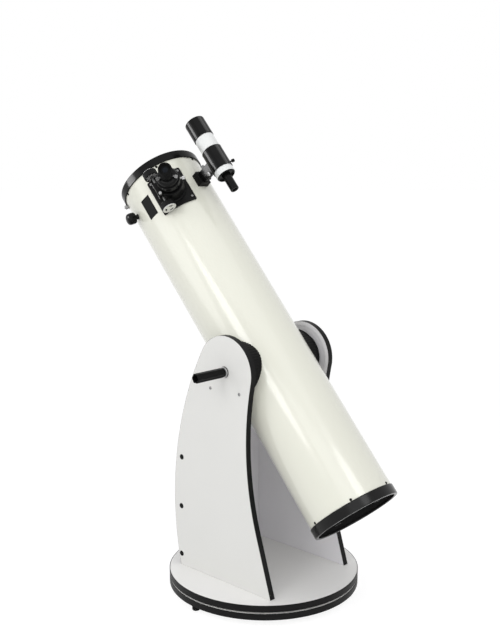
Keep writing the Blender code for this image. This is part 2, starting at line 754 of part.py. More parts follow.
body = solid("focuser_body_join", lathe(body_profile, 28), BLACK_METAL, focuser_frame)
combine(focuser_base, body, "UNION")
drawtube_hole = DRAWTUBE_RADIUS + RUN_GAP
shaft_y = drawtube_hole + SHAFT_WALL + RUN_GAP + SHAFT_RADIUS
boss_low = (-SHAFT_BOSS_LENGTH / 2, 0.6 * shaft_y, SHAFT_HEIGHT - SHAFT_BOSS_HALF)
boss_high = (SHAFT_BOSS_LENGTH / 2, shaft_y + SHAFT_BOSS_HALF, SHAFT_HEIGHT + SHAFT_BOSS_HALF)
boss = solid("shaft_boss_join", box(boss_low, boss_high), BLACK_METAL, focuser_frame)
combine(focuser_base, boss, "UNION")
combine(focuser_base, tube_cutter, "DIFFERENCE")
bore = disc(drawtube_hole, 0.5 * TUBE_RADIUS, FOCUSER_TOP + 0.05, 28)
bore_cutter = solid("focuser_bore_cutter", bore, STEEL, focuser_frame)
combine(focuser_base, bore_cutter, "DIFFERENCE")
shaft_frame = frame("focus_shaft_axis", focuser_frame, (0, shaft_y, SHAFT_HEIGHT), aimed((1, 0, 0)))
shaft_hole = disc(SHAFT_RADIUS + RUN_GAP, -SHAFT_BOSS_LENGTH, SHAFT_BOSS_LENGTH, 20)
combine(focuser_base, solid("shaft_hole_cutter", shaft_hole, STEEL, shaft_frame), "DIFFERENCE")
tube_hole = disc(drawtube_hole + 0.002, 0.5 * TUBE_RADIUS, FOCUSER_TOP, 28)
combine(tube, solid("tube_hole_cutter", tube_hole, STEEL, focuser_frame), "DIFFERENCE")

knob_start = FOCUSER_FOOT_RADIUS + FOCUS_KNOB_ROOM
shaft_end = knob_start - SEAT_GAP
solid("focus_shaft", disc(SHAFT_RADIUS, -shaft_end, shaft_end, 20), STEEL, shaft_frame)
for place, way in (("upper", 1), ("lower", -1)):
    chamfer = 0.0015
    knob_profile = [
        (0, knob_start),
        (FOCUS_KNOB_RADIUS - chamfer, knob_start),
        (FOCUS_KNOB_RADIUS, knob_start + chamfer),
        (FOCUS_KNOB_RADIUS, knob_start + FOCUS_KNOB_LENGTH - chamfer),
        (FOCUS_KNOB_RADIUS - chamfer, knob_start + FOCUS_KNOB_LENGTH),
        (0, knob_start + FOCUS_KNOB_LENGTH),
    ]
    solid(
        f"focus_knob_{place}",
        lathe(knob_profile, 24),
        BLACK_METAL,
        shaft_frame,
        (0, 0, 0),
        aimed((0, 0, way)),
    )

drawtube_profile = [
    (DRAWTUBE_BORE, DRAWTUBE_BOTTOM),
    (DRAWTUBE_RADIUS, DRAWTUBE_BOTTOM),
    (DRAWTUBE_RADIUS, COLLAR_BOTTOM),
    (COLLAR_RADIUS, COLLAR_BOTTOM),
    (COLLAR_RADIUS, COLLAR_TOP),
    (DRAWTUBE_BORE, COLLAR_TOP),
]
solid("drawtube", lathe(drawtube_profile, 28), BLACK_METAL, focuser_frame)

barrel_hole = BARREL_RADIUS + RUN_GAP
adapter_low = COLLAR_TOP - ADAPTER_PLUG
plug_radius = DRAWTUBE_BORE - SEAT_GAP
adapter_seat = COLLAR_TOP + SEAT_GAP
adapter_step = adapter_seat + ADAPTER_FLANGE_HEIGHT
dome_top = adapter_step + ADAPTER_DOME_HEIGHT
adapter_top = dome_top + ADAPTER_NOSE_HEIGHT
dome_reach = ADAPTER_DOME_RADIUS - ADAPTER_NOSE_RADIUS
dome_turns = [math.radians(turn) for turn in (0, 30, 60, 90)]
adapter_dome = [
    (ADAPTER_NOSE_RADIUS + dome_reach * math.cos(turn), adapter_step + ADAPTER_DOME_HEIGHT * math.sin(turn))
    for turn in dome_turns
]
adapter_profile = [
    (barrel_hole, adapter_low),
    (plug_radius, adapter_low),
    (plug_radius, adapter_seat),
    (ADAPTER_FLANGE_RADIUS, adapter_seat),
    (ADAPTER_FLANGE_RADIUS, adapter_step),
    *adapter_dome,
    (ADAPTER_NOSE_RADIUS, adapter_top),
    (barrel_hole, adapter_top),
]
solid("eyepiece_adapter", lathe(adapter_profile, 24), BLACK_METAL, focuser_frame)

barrel_top = adapter_top + SEAT_GAP
solid(
    "eyepiece_barrel",
    ring_band(BARREL_RADIUS - BARREL_WALL, BARREL_RADIUS, barrel_top - BARREL_LENGTH, barrel_top, 24),
    CHROME,
    focuser_frame,
)
body_seat = barrel_top + SEAT_GAP
body_top = body_seat + EYEPIECE_HEIGHT
solid("eyepiece_body", disc(EYEPIECE_RADIUS, body_seat, body_top, 24), BLACK_PLASTIC, focuser_frame)
cup_low = body_top + SEAT_GAP
cup_top = cup_low + CUP_HEIGHT
cup_profile = [
    (0, cup_low),
    (CUP_RADIUS, cup_low),
    (CUP_RADIUS, cup_top - 0.002),
    (CUP_RADIUS - 0.002, cup_top),
    (CUP_HOLE_RADIUS + 0.002, cup_top),
    (CUP_HOLE_RADIUS, cup_top - CUP_HOLE_DEPTH),
    (0, cup_top - CUP_HOLE_DEPTH),
]
solid("eyepiece_cup", lathe(cup_profile, 24), RUBBER, focuser_frame)


def clamp_screw(name, radius, height, turn_deg):
    """A thumbscrew across the drawtube's axis, turned from -Y towards the tube's lower end."""
    turn = math.radians(turn_deg)
    way = Vector((-math.sin(turn), -math.cos(turn), 0))
    spot = way * (radius + SEAT_GAP) + Vector((0, 0, height))
    thumbscrew(name, CHROME, focuser_frame, spot, way)


clamp_screw("drawtube_screw", COLLAR_RADIUS, (COLLAR_BOTTOM + COLLAR_TOP) / 2, COLLAR_SCREW_DEG)
clamp_screw("adapter_screw", ADAPTER_NOSE_RADIUS, (dome_top + adapter_top) / 2, ADAPTER_SCREW_DEG)
boss_top = SHAFT_HEIGHT + SHAFT_BOSS_HALF + SEAT_GAP
boss_spot = (LOCK_SCREW_PLACE[0], shaft_y + LOCK_SCREW_PLACE[1], boss_top)
thumbscrew("focus_lock_screw", CHROME, focuser_frame, boss_spot, (0, 0, 1))


# Finder scope in a sleeve bracket, whose dovetail foot slides into a shoe on the tube.
shoe_frame = radial_frame("finder_shoe_axis", SHOE_AXIAL, FINDER_ANGLE_DEG)
shoe_top = TUBE_SEAT + SHOE_HEIGHT
slot_low = shoe_top - SLOT_DEPTH
shoe_outline = [
    (-SHOE_WIDTH / 2, 0.9 * TUBE_SEAT),
    (SHOE_WIDTH / 2, 0.9 * TUBE_SEAT),
    (SHOE_WIDTH / 2, shoe_top),
    (SLOT_NECK / 2, shoe_top),
    (SLOT_FLOOR / 2, slot_low),
    (-SLOT_FLOOR / 2, slot_low),
    (-SLOT_NECK / 2, shoe_top),
    (-SHOE_WIDTH / 2, shoe_top),
]
shoe = solid(
    "finder_shoe",
    prism(shoe_outline, -SHOE_LENGTH / 2, SHOE_LENGTH / 2, "X"),
    BLACK_PLASTIC,
    shoe_frame,
)
combine(shoe, tube_cutter, "DIFFERENCE")

foot_outline = [
    (-SLOT_FLOOR / 2 + RUN_GAP, slot_low + SEAT_GAP),
    (SLOT_FLOOR / 2 - RUN_GAP, slot_low + SEAT_GAP),
    (SLOT_NECK / 2 - RUN_GAP, shoe_top),
    (-SLOT_NECK / 2 + RUN_GAP, shoe_top),
]
bracket = solid(
    "finder_bracket",
    prism(foot_outline, -SHOE_LENGTH / 2, SHOE_LENGTH / 2, "X"),
    BLACK_PLASTIC,
    shoe_frame,
)
stem_top = FINDER_HEIGHT - SLEEVE_RADIUS + 0.8 * SLEEVE_WALL
stem = box(
    (-STEM_LENGTH / 2, -STEM_WIDTH / 2, shoe_top - 0.5 * SLOT_DEPTH),
    (STEM_LENGTH / 2, STEM_WIDTH / 2, stem_top),
)
combine(bracket, solid("stem_join", stem, BLACK_PLASTIC, shoe_frame), "UNION")
finder_frame = frame("finder_axis", shoe_frame, (-FINDER_SETBACK, 0, FINDER_HEIGHT), aimed((1, 0, 0)))
sleeve = ring_band(SLEEVE_RADIUS - SLEEVE_WALL, SLEEVE_RADIUS, SLEEVE_REAR, SLEEVE_FRONT, 30)
combine(bracket, solid("sleeve_join", sleeve, BLACK_PLASTIC, finder_frame), "UNION")

finder_bore = FINDER_CELL_RADIUS - FINDER_CELL_WALL
lens_seat = FINDER_TUBE_FRONT + FINDER_CELL_LENGTH - FINDER_LENS_DEPTH
finder_inner = FINDER_TUBE_RADIUS - FINDER_TUBE_WALL
solid(
    "finder_tube",
    ring_band(finder_inner, FINDER_TUBE_RADIUS, FINDER_TUBE_REAR, FINDER_TUBE_FRONT, 30),
    WHITE_PAINT,
    finder_frame,
)
cell_base = FINDER_TUBE_FRONT + SEAT_GAP
lens_back = lens_seat - FINDER_LENS_THICKNESS
lens_shelf = finder_bore - FINDER_CELL_WALL
finder_cell_profile = [
    (lens_shelf, cell_base),
    (FINDER_CELL_RADIUS, cell_base),
    (FINDER_CELL_RADIUS, FINDER_TUBE_FRONT + FINDER_CELL_LENGTH),
    (finder_bore, FINDER_TUBE_FRONT + FINDER_CELL_LENGTH),
    (finder_bore, lens_back),
    (lens_shelf, lens_back),
]
solid("finder_objective_cell", lathe(finder_cell_profile, 32), BLACK_PLASTIC, finder_frame)
lens_radius = finder_bore - SEAT_GAP
lens_low = lens_back + SEAT_GAP
lens_profile = [
    (0, lens_low),
    (lens_radius, lens_low),
    (lens_radius, lens_low + 0.4 * FINDER_LENS_THICKNESS),
    (0.6 * lens_radius, lens_low + 0.8 * FINDER_LENS_THICKNESS),
    (0, lens_low + FINDER_LENS_THICKNESS),
]
solid("finder_lens", lathe(lens_profile, 24), GLASS, finder_frame)
plug_front = FINDER_TUBE_REAR + FINDER_PLUG_LENGTH
finder_plug = finder_inner - SEAT_GAP
flange_rear = FINDER_TUBE_REAR - FINDER_FLANGE_LENGTH
finder_end = flange_rear - FINDER_EYEPIECE_LENGTH
eyepiece_profile = [
    (0, finder_end + 0.004),
    (0.6 * FINDER_EYEPIECE_RADIUS, finder_end),
    (FINDER_EYEPIECE_RADIUS - 0.0015, finder_end),
    (FINDER_EYEPIECE_RADIUS, finder_end + 0.0015),
    (FINDER_EYEPIECE_RADIUS, flange_rear),
    (FINDER_FLANGE_RADIUS, flange_rear),
    (FINDER_FLANGE_RADIUS, FINDER_TUBE_REAR),
    (finder_plug, FINDER_TUBE_REAR),
    (finder_plug, plug_front),
    (0, plug_front),
]
solid("finder_eyepiece", lathe(eyepiece_profile, 28), BLACK_PLASTIC, finder_frame)

shoe_screw_spot = (0, -SHOE_WIDTH / 2 - SEAT_GAP, (slot_low + shoe_top) / 2)
thumbscrew("shoe_screw", BLACK_PLASTIC, shoe_frame, shoe_screw_spot, (0, -1, 0))
adjuster_x = SLEEVE_REAR + ADJUSTER_FROM_REAR - FINDER_SETBACK
for number, lean_deg in ((1, 37.0), (2, -53.0)):
    lean = math.radians(lean_deg)
    way = Vector((0, -math.cos(lean), math.sin(lean)))
    spot = Vector((adjuster_x, 0, FINDER_HEIGHT)) + way * (SLEEVE_RADIUS + SEAT_GAP)
    thumbscrew(f"finder_screw_{number}", BLACK_PLASTIC, shoe_frame, spot, way)


# Round knob on the tube's side, to guide the tube by hand.
knob_frame = radial_frame("guide_knob_axis", KNOB_AXIAL, KNOB_ANGLE_DEG)
knob_low = TUBE_SEAT + SEAT_GAP
knob_profile = [
    (0, knob_low),
    (0.55 * KNOB_RADIUS, knob_low),
    (0.45 * KNOB_RADIUS, knob_low + 0.22 * KNOB_HEIGHT),
    (0.80 * KNOB_RADIUS, knob_low + 0.32 * KNOB_HEIGHT),
    (KNOB_RADIUS, knob_low + 0.52 * KNOB_HEIGHT),
    (KNOB_RADIUS, knob_low + 0.68 * KNOB_HEIGHT),
    (0.82 * KNOB_RADIUS, knob_low + 0.88 * KNOB_HEIGHT),
    (0.45 * KNOB_RADIUS, knob_low + 0.98 * KNOB_HEIGHT),
    (0, knob_low + KNOB_HEIGHT),
]
solid("guide_knob", lathe(knob_profile, 20), BLACK_PLASTIC, knob_frame)
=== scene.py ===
# %% [markdown]
# # A telescope on a rocker box
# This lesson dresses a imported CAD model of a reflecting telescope. The CAD pieces are coarse and
# plain, so every one is made again here with round edges, fine details and a real finish.
# Each new piece rides on the CAD body that carries it, so the telescope still moves.

# %% Load the frame
import math

import bmesh
import bpy
from mathutils import Matrix, Quaternion, Vector


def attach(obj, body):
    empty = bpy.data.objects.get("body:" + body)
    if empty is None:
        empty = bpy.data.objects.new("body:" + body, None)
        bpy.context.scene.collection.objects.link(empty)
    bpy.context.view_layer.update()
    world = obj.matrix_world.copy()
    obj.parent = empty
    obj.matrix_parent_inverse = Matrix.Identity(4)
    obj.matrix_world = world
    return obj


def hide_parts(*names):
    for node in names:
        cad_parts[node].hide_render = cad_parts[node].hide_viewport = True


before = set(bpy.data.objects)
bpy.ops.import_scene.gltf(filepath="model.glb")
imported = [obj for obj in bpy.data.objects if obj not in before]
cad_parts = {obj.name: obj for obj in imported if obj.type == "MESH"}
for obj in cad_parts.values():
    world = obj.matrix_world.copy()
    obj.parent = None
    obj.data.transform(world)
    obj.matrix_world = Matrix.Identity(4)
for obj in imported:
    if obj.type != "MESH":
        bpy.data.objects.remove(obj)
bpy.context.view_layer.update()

scene = bpy.context.scene
scene.view_settings.view_transform = "Standard"

# %% [markdown]
# ## Camera
# The camera's place was solved from the photograph: the round base, the tube's outline and the
# side panels give its direction, its distance and its lens. The lens is shifted up a little,
# because the picture was cropped with the telescope low in the frame.

# %% Camera
CAMERA_PLACE = (-1.8803, -1.7328, 1.1876)
CAMERA_AIM = (0.70777, 0.67213, -0.21751)
CAMERA_LENS = 55.98
CAMERA_RISE = 0.0901

camera_data = bpy.data.cameras.new("camera")
camera_data.sensor_width = 36
camera_data.lens = CAMERA_LENS
camera_data.shift_y = CAMERA_RISE
camera = bpy.data.objects.new("camera", camera_data)
camera.location = CAMERA_PLACE
camera.rotation_euler = Vector(CAMERA_AIM).to_track_quat("-Z", "Y").to_euler()
scene.collection.objects.link(camera)
scene.camera = camera
print("camera", [round(x, 3) for x in camera.location])

# %% [markdown]
# ## Shader sums
# A finish is easier to read as a sum than as a list of links. `Wire` holds one socket and lets
# Python's own signs add the Math nodes. `Recipe.node` makes every other node, with its inputs
# first and then its settings.

# %% Shader sums
class Wire:
    """One shader output that takes part in Python arithmetic."""

    def __init__(self, recipe, socket):
        self.recipe = recipe
        self.socket = socket

    def math(self, operation, other):
        return self.recipe.node("Math", {0: self, 1: other}, operation=operation)

    def __radd__(self, other):
        return self.math("ADD", other)

    def __rmul__(self, other):
        return self.math("MULTIPLY", other)

    def most(self, other):
        return self.math("MAXIMUM", other)


class Recipe:
    """A node tree that is filled by one method."""

    def __init__(self, tree):
        self.tree = tree

    def node(self, kind, inputs=None, output=0, **settings):
        made = self.tree.nodes.new("ShaderNode" + kind)
        for key, value in settings.items():
            setattr(made, key, value)
        for key, value in (inputs or {}).items():
            self.feed(made.inputs[key], value)
        return Wire(self, made.outputs[output])

    def feed(self, socket, value):
        if isinstance(value, Wire):
            self.tree.links.new(value.socket, socket)
        else:
            socket.default_value = value

    def mix(self, share, first, second):
        """One colour where share is 0 and another where it is 1."""
        return self.node("Mix", {0: share, 6: (*first, 1), 7: (*second, 1)}, 2, data_type="RGBA")


class Finish(Recipe):
    """A Principled material. Plain numbers go on its own sockets, and patterns are fed later."""

    def __init__(self, name, **plain):
        self.material = bpy.data.materials.new(name)
        self.material.use_nodes = True
        super().__init__(self.material.node_tree)
        self.shader = self.tree.nodes["Principled BSDF"]
        for key, value in plain.items():
            self.set(key.replace("_", " "), value)
        self.where = self.node("TexCoord", output="Object")

    def set(self, socket, value):
        self.feed(self.shader.inputs[socket], value)

    def noise(self, scale, detail=2.0):
        """Cloudy noise from 0 to 1, in patches of about 1 / scale metres."""
        return self.node("TexNoise", {"Vector": self.where, "Scale": scale, "Detail": detail})

    def tones(self, dark, pale, scale, detail=2.0):
        """A colour that drifts between two tones."""
        self.set("Base Color", self.mix(self.noise(scale, detail), dark, pale))

    def gloss(self, low, spread, scale, detail=2.0):
        """A roughness that drifts up from its lowest value."""
        self.set("Roughness", low + spread * self.noise(scale, detail))

    def bump(self, height, depth, strength):
        inputs = {"Height": height, "Distance": depth, "Strength": strength}
        self.set("Normal", self.node("Bump", inputs))


print("shader helpers ready")

# %% [markdown]
# ## Studio
# The photograph has a white background and soft light, with soft boxes that draw thin white
# streaks down the glossy tube. The world and the floor look white to the camera and to mirrors,
# but light the telescope at a plain level, so the colours stay as they are written.

# %% World and floor
AMBIENT, BACKDROP = 0.64, 1.0
SHADE_TINT, BACKDROP_TINT = (0.99, 0.985, 1.0), (1, 1, 1)
PAPER_GREY, PAPER_WHITE = (0.80, 0.80, 0.80, 1), (1, 1, 1, 1)
PAPER_GLOW, GLOW_SHARE = 1.3, 0.63
FLOOR_RADIUS = 30


def sees_backdrop(recipe):
    """1 for the camera's own rays and for those that mirrors and glass send on."""
    path = recipe.tree.nodes.new("ShaderNodeLightPath")
    kinds = ("Camera", "Glossy", "Transmission")
    rays = [Wire(recipe, path.outputs[f"Is {kind} Ray"]) for kind in kinds]
    return rays[0].most(rays[1]).most(rays[2])


world = bpy.data.worlds.new("studio")
scene.world = world
world.use_nodes = True
sky = Recipe(world.node_tree)
background = world.node_tree.nodes["Background"]
seen = sees_backdrop(sky)
sky.feed(background.inputs["Color"], sky.mix(seen, SHADE_TINT, BACKDROP_TINT))
sky.feed(background.inputs["Strength"], AMBIENT + (BACKDROP - AMBIENT) * seen)

floor_finish = bpy.data.materials.new("studio_floor")
floor_finish.use_nodes = True
paper = Recipe(floor_finish.node_tree)
paper.tree.nodes.clear()
lit = paper.node("BsdfDiffuse", {"Color": PAPER_GREY})
glow = paper.node("Emission", {"Color": PAPER_WHITE, "Strength": PAPER_GLOW})
paper_mix = paper.node("MixShader", {0: GLOW_SHARE * sees_backdrop(paper), 1: lit, 2: glow})
paper_out = paper.tree.nodes.new("ShaderNodeOutputMaterial")
paper.feed(paper_out.inputs["Surface"], paper_mix)

floor_bm = bmesh.new()
bmesh.ops.create_circle(floor_bm, cap_ends=True, radius=FLOOR_RADIUS, segments=64)
floor_mesh = bpy.data.meshes.new("studio_floor")
floor_bm.to_mesh(floor_mesh)
floor_bm.free()
floor_mesh.materials.append(floor_finish)
floor = bpy.data.objects.new("studio_floor", floor_mesh)
scene.collection.objects.link(floor)
print("white world and floor ready")

# %% Lamps
def lamp(name, shape, place, target, size, power, roll_deg=0):
    """A soft box or a round lamp that points at a place on the telescope."""
    data = bpy.data.lights.new(name, "AREA")
    data.shape = shape
    data.size, data.size_y = size
    data.energy = power
    made = bpy.data.objects.new(name, data)
    made.location = place
    turn = (Vector(target) - Vector(place)).to_track_quat("-Z", "Y")
    made.rotation_euler = (turn @ Quaternion((0, 0, 1), math.radians(roll_deg))).to_euler()
    scene.collection.objects.link(made)
    return made


lamp("streak_box", "ELLIPSE", (-2.20, -0.20, 1.82), (0, 0, 0.7), (1.25, 0.80), 9.5, -32)
lamp("ceiling_box", "RECTANGLE", (-0.7, -0.7, 3.2), (0, 0, 0.6), (2.8, 2.0), 8)
lamp("front_box", "RECTANGLE", (-2.2, -3.0, 2.0), (0, 0, 0.6), (3.6, 3.4), 38)
lamp("side_box", "RECTANGLE", (-2.6, 1.6, 1.5), (0, 0.1, 0.8), (1.6, 1.6), 11)
gloss_box = lamp("gloss_box", "ELLIPSE", (-2.05, 2.20, 1.27), (-0.05, 0.3, 1.2), (1.3, 0.7), 47, 34)
band_box = lamp("band_box", "RECTANGLE", (1.15, -0.33, 3.35), (0, 0.3, 1.25), (1.2, 1.2), 20)
lamp("glint_box", "ELLIPSE", (-0.41, -1.67, 1.84), (-0.065, -0.34, 0.42), (0.75, 0.45), 3.1)
print(len(bpy.data.lights), "lamps ready")

# %% [markdown]
# ## Finishes
# Every finish has a pattern at its real size: the orange peel of sprayed enamel, the pebbled
# press of melamine board, the fine grain of moulded plastic and the smears on handled chrome.
# The patterns read Object coordinates, which here are metres, so a scale of 900 gives
# patches of about a millimetre.

# %% Painted and laminated finishes
def grey(level):
    return (level, level, level)


CREAM_ENAMEL = Finish("cream_enamel", Coat_Weight=0.5, Coat_Roughness=0.04)
CREAM_ENAMEL.tones((0.728, 0.732, 0.640), (0.753, 0.756, 0.662), 3.5)
CREAM_ENAMEL.gloss(0.16, 0.10, 18, 3)
CREAM_ENAMEL.bump(CREAM_ENAMEL.noise(420), 0.00004, 0.35)

FINDER_WHITE = Finish("finder_white")
FINDER_WHITE.tones((0.76, 0.775, 0.765), (0.79, 0.80, 0.79), 9)
FINDER_WHITE.gloss(0.20, 0.10, 40, 3)
FINDER_WHITE.bump(FINDER_WHITE.noise(500), 0.00003, 0.3)

LINING_BLACK = Finish("lining_black", Specular_IOR_Level=0.25)
LINING_BLACK.tones(grey(0.008), grey(0.016), 60, 4)
LINING_BLACK.gloss(0.75, 0.2, 900)

EDGE_TAPE = Finish("edge_tape", Specular_IOR_Level=0.10)
EDGE_TAPE.tones(grey(0.005), grey(0.010), 25, 3)
EDGE_TAPE.gloss(0.34, 0.2, 500, 3)
EDGE_TAPE.bump(EDGE_TAPE.noise(1600), 0.00006, 0.4)


def melamine(name, dark, pale):
    """A laminated board: a cloudy white under a finely pebbled press."""
    made = Finish(name)
    made.tones(dark, pale, 6, 3)
    pebble = made.noise(1100, 3)
    made.set("Roughness", 0.36 + 0.16 * pebble)
    made.bump(pebble, 0.00012, 0.30)
    return made


WHITE_MELAMINE = melamine("white_melamine", (0.715, 0.716, 0.690), (0.740, 0.741, 0.716))
# A lighter, lavender copy of the white laminate: painted light for the bluish fill that lights the inside of
# the box.
PAINTED_FILL_MELAMINE = melamine("painted_fill_melamine", (0.785, 0.777, 0.798), (0.810, 0.802, 0.823))
BOARD_MELAMINE = melamine("board_melamine", (0.810, 0.806, 0.790), (0.835, 0.832, 0.816))
print("paint and laminate mixed")

# %% Plastics, rubber and glass
def black_finish(name, dark, pale, rough, grain, depth, **plain):
    """A black finish: its tone drifts a little, its grain catches the light."""
    made = Finish(name, **plain)
    made.tones(grey(dark), grey(pale), 40, 4)
    fleck = made.noise(grain, 3)
    made.set("Roughness", rough - 0.08 + 0.16 * fleck)
    made.bump(fleck, depth, 0.5)
    return made


MOULDED_BLACK = black_finish("moulded_black", 0.004, 0.008, 0.40, 1800, 0.00006, Specular_IOR_Level=0.07)
GLOSS_BLACK = black_finish("gloss_black", 0.004, 0.007, 0.17, 900, 0.00001, Specular_IOR_Level=0.10)
SATIN_BLACK = black_finish("satin_black", 0.004, 0.007, 0.20, 900, 0.00001, Specular_IOR_Level=0.20)
CAST_BLACK = black_finish("cast_black", 0.004, 0.008, 0.34, 1300, 0.00005, Specular_IOR_Level=0.09)
ANODISED_BLACK = black_finish("anodised_black", 0.004, 0.008, 0.26, 2400, 0.00002, Specular_IOR_Level=0.11)
SOFT_RUBBER = black_finish("soft_rubber", 0.004, 0.008, 0.70, 1500, 0.00010, Specular_IOR_Level=0.08)
LABEL_BLACK = black_finish("label_black", 0.006, 0.011, 0.34, 2200, 0.00002, Specular_IOR_Level=0.09)
DARK_STEEL = black_finish("dark_steel", 0.10, 0.16, 0.42, 1500, 0.00004, Metallic=0.9)

WHITE_NYLON = Finish("white_nylon")
WHITE_NYLON.tones((0.76, 0.755, 0.72), (0.82, 0.815, 0.78), 80, 3)
WHITE_NYLON.gloss(0.40, 0.16, 700)
LENS_COAT = Finish("lens_coat", Roughness=0.08, Specular_IOR_Level=0.10)
LENS_COAT.tones((0.004, 0.010, 0.009), (0.006, 0.006, 0.012), 30)
RIB_GREY = Finish("rib_grey", Roughness=0.5)
RIB_GREY.tones((0.36, 0.36, 0.35), (0.46, 0.46, 0.45), 300, 3)
MIRROR_EDGE = Finish("mirror_edge", Roughness=0.55)
MIRROR_EDGE.tones((0.42, 0.50, 0.48), (0.52, 0.58, 0.55), 300, 3)
print("plastics and glass mixed")

# %% Bright metals
def bright_metal(name, dark, pale, low, high, smear):
    """A bare metal with smears that change its gloss."""
    made = Finish(name, Metallic=1.0)
    made.tones(grey(dark), grey(pale), 35, 4)
    made.gloss(low, high - low, smear, 4)
    return made


BRIGHT_CHROME = bright_metal("bright_chrome", 0.40, 0.50, 0.16, 0.30, 220)
ZINC_STEEL = bright_metal("zinc_steel", 0.22, 0.30, 0.28, 0.44, 400)
WASHER_STEEL = bright_metal("washer_steel", 0.50, 0.60, 0.30, 0.46, 400)
SPUN_ALUMINIUM = bright_metal("spun_aluminium", 0.62, 0.72, 0.30, 0.42, 500)
CAST_ALUMINIUM = bright_metal("cast_aluminium", 0.42, 0.52, 0.38, 0.55, 700)
CAST_ALUMINIUM.bump(CAST_ALUMINIUM.noise(900, 3), 0.00015, 0.5)
MIRROR_COAT = bright_metal("mirror_coat", 0.90, 0.93, 0.01, 0.04, 50)
print("metals mixed")

# %% [markdown]
# ## Tools for shapes
# Most pieces of a telescope are turned on a lathe, so a profile spun round an axis makes most of
# this one. A bevel then softens the hard corners, because a real edge always catches a thin
# line of light. Holes and saddles are cut with the exact Boolean.

# %% Turned pieces and blocks
FULL_TURN = math.tau
UP = Vector((0, 0, 1))


def tidy(bm):
    """Merges doubles and turns all faces outwards."""
    bmesh.ops.remove_doubles(bm, verts=bm.verts, dist=1e-6)
    bmesh.ops.recalc_face_normals(bm, faces=bm.faces)
    return bm


def mm(*points):
    """A profile of (radius, height) points that is written in millimetres."""
    return [(radius / 1000, height / 1000) for radius, height in points]


def turned(profile, steps=64):
    """Spins a profile round Z. One that doesn't start on the axis is closed up first."""
    bm = bmesh.new()
    points = [bm.verts.new((radius, 0, height)) for radius, height in profile]
    lines = [bm.edges.new(pair) for pair in zip(points, points[1:])]
    if profile[0][0] > 0:
        lines.append(bm.edges.new((points[-1], points[0])))
    bmesh.ops.spin(
        bm, geom=points + lines, cent=(0, 0, 0), axis=UP, dvec=(0, 0, 0),
        angle=FULL_TURN, steps=steps, use_merge=True,
    )
    return tidy(bm)


def rod(radius, low, high, steps=64):
    return turned([(0, low), (radius, low), (radius, high), (0, high)], steps)


def ring(inner, outer, low, high, steps=64):
    return turned([(inner, low), (outer, low), (outer, high), (inner, high)], steps)


def block(low, high):
    """A box between two corners."""
    bm = bmesh.new()
    bmesh.ops.create_cube(bm, size=1)
    low, high = Vector(low), Vector(high)
    bmesh.ops.scale(bm, vec=high - low, verts=bm.verts)
    bmesh.ops.translate(bm, vec=(high + low) / 2, verts=bm.verts)
    return bm


def bevelled(bm, edges, width, segments):
    bmesh.ops.bevel(
        bm, geom=edges, offset=width, offset_type="OFFSET", affect="EDGES",
        segments=segments, profile=0.5, clamp_overlap=True, material=-1,
    )
    return bm


def soften(bm, width, segments=2, angle=32):
    """Rounds every edge where faces meet at more than the angle."""
    limit = math.radians(angle)
    edges = [edge for edge in bm.edges if edge.is_manifold and edge.calc_face_angle() > limit]
    return bevelled(bm, edges, width, segments)


def flute(bm, count, depth, above, low, high):
    """Presses flutes into a turned piece, where it is wider than a radius and between two heights."""
    for vert in bm.verts:
        radius = vert.co.xy.length
        if radius > above and low < vert.co.z < high:
            wave = 0.5 - 0.5 * math.cos(count * math.atan2(vert.co.y, vert.co.x))
            vert.co.xy *= 1 - depth * wave / radius
    return bm


print("shapes ready")

# %% Places, cuts and finished pieces
def moved(bm, place):
    bmesh.ops.transform(bm, matrix=place, verts=bm.verts)
    return bm


def spun(bm, angle):
    return moved(bm, Matrix.Rotation(angle, 4, "Z"))


def turns(count, start=0.0):
    """Angles that share a full turn evenly."""
    return [start + FULL_TURN * number / count for number in range(count)]


def on_circle(radius, angle):
    return Matrix.Translation((radius * math.cos(angle), radius * math.sin(angle), 0))


def aim(direction, at=(0, 0, 0)):
    """The place that turns +Z to a direction."""
    return Matrix.Translation(at) @ Vector(direction).to_track_quat("Z", "Y").to_matrix().to_4x4()


def together(*parts):
    """Several meshes as one."""
    whole = bmesh.new()
    for part in parts:
        mesh = bpy.data.meshes.new("part")
        part.to_mesh(mesh)
        part.free()
        whole.from_mesh(mesh)
        bpy.data.meshes.remove(mesh)
    return whole


def copies(bm, places):
    """One mesh at several places, as one."""
    made = [moved(bm.copy(), place) for place in places]
    bm.free()
    return together(*made)


def tint(bm, index):
    """Gives every face the material of that number."""
    for face in bm.faces:
        face.material_index = index
    return bm


def carve(bm, tool, operation="DIFFERENCE"):
    """Cuts the tool from a mesh, or joins it on."""
    pair = []
    for shape in (bm, tool):
        mesh = bpy.data.meshes.new("carving")
        shape.to_mesh(mesh)
        shape.free()
        item = bpy.data.objects.new("carving", mesh)
        scene.collection.objects.link(item)
        pair.append(item)
    step = pair[0].modifiers.new("carving", "BOOLEAN")
    step.operation = operation
    step.solver = "EXACT"
    step.object = pair[1]
    graph = bpy.context.evaluated_depsgraph_get()
    made = bpy.data.meshes.new_from_object(pair[0].evaluated_get(graph), depsgraph=graph)
    result = bmesh.new()
    result.from_mesh(made)
    bpy.data.meshes.remove(made)
    for item in pair:
        bpy.data.meshes.remove(item.data)
    return tidy(result)


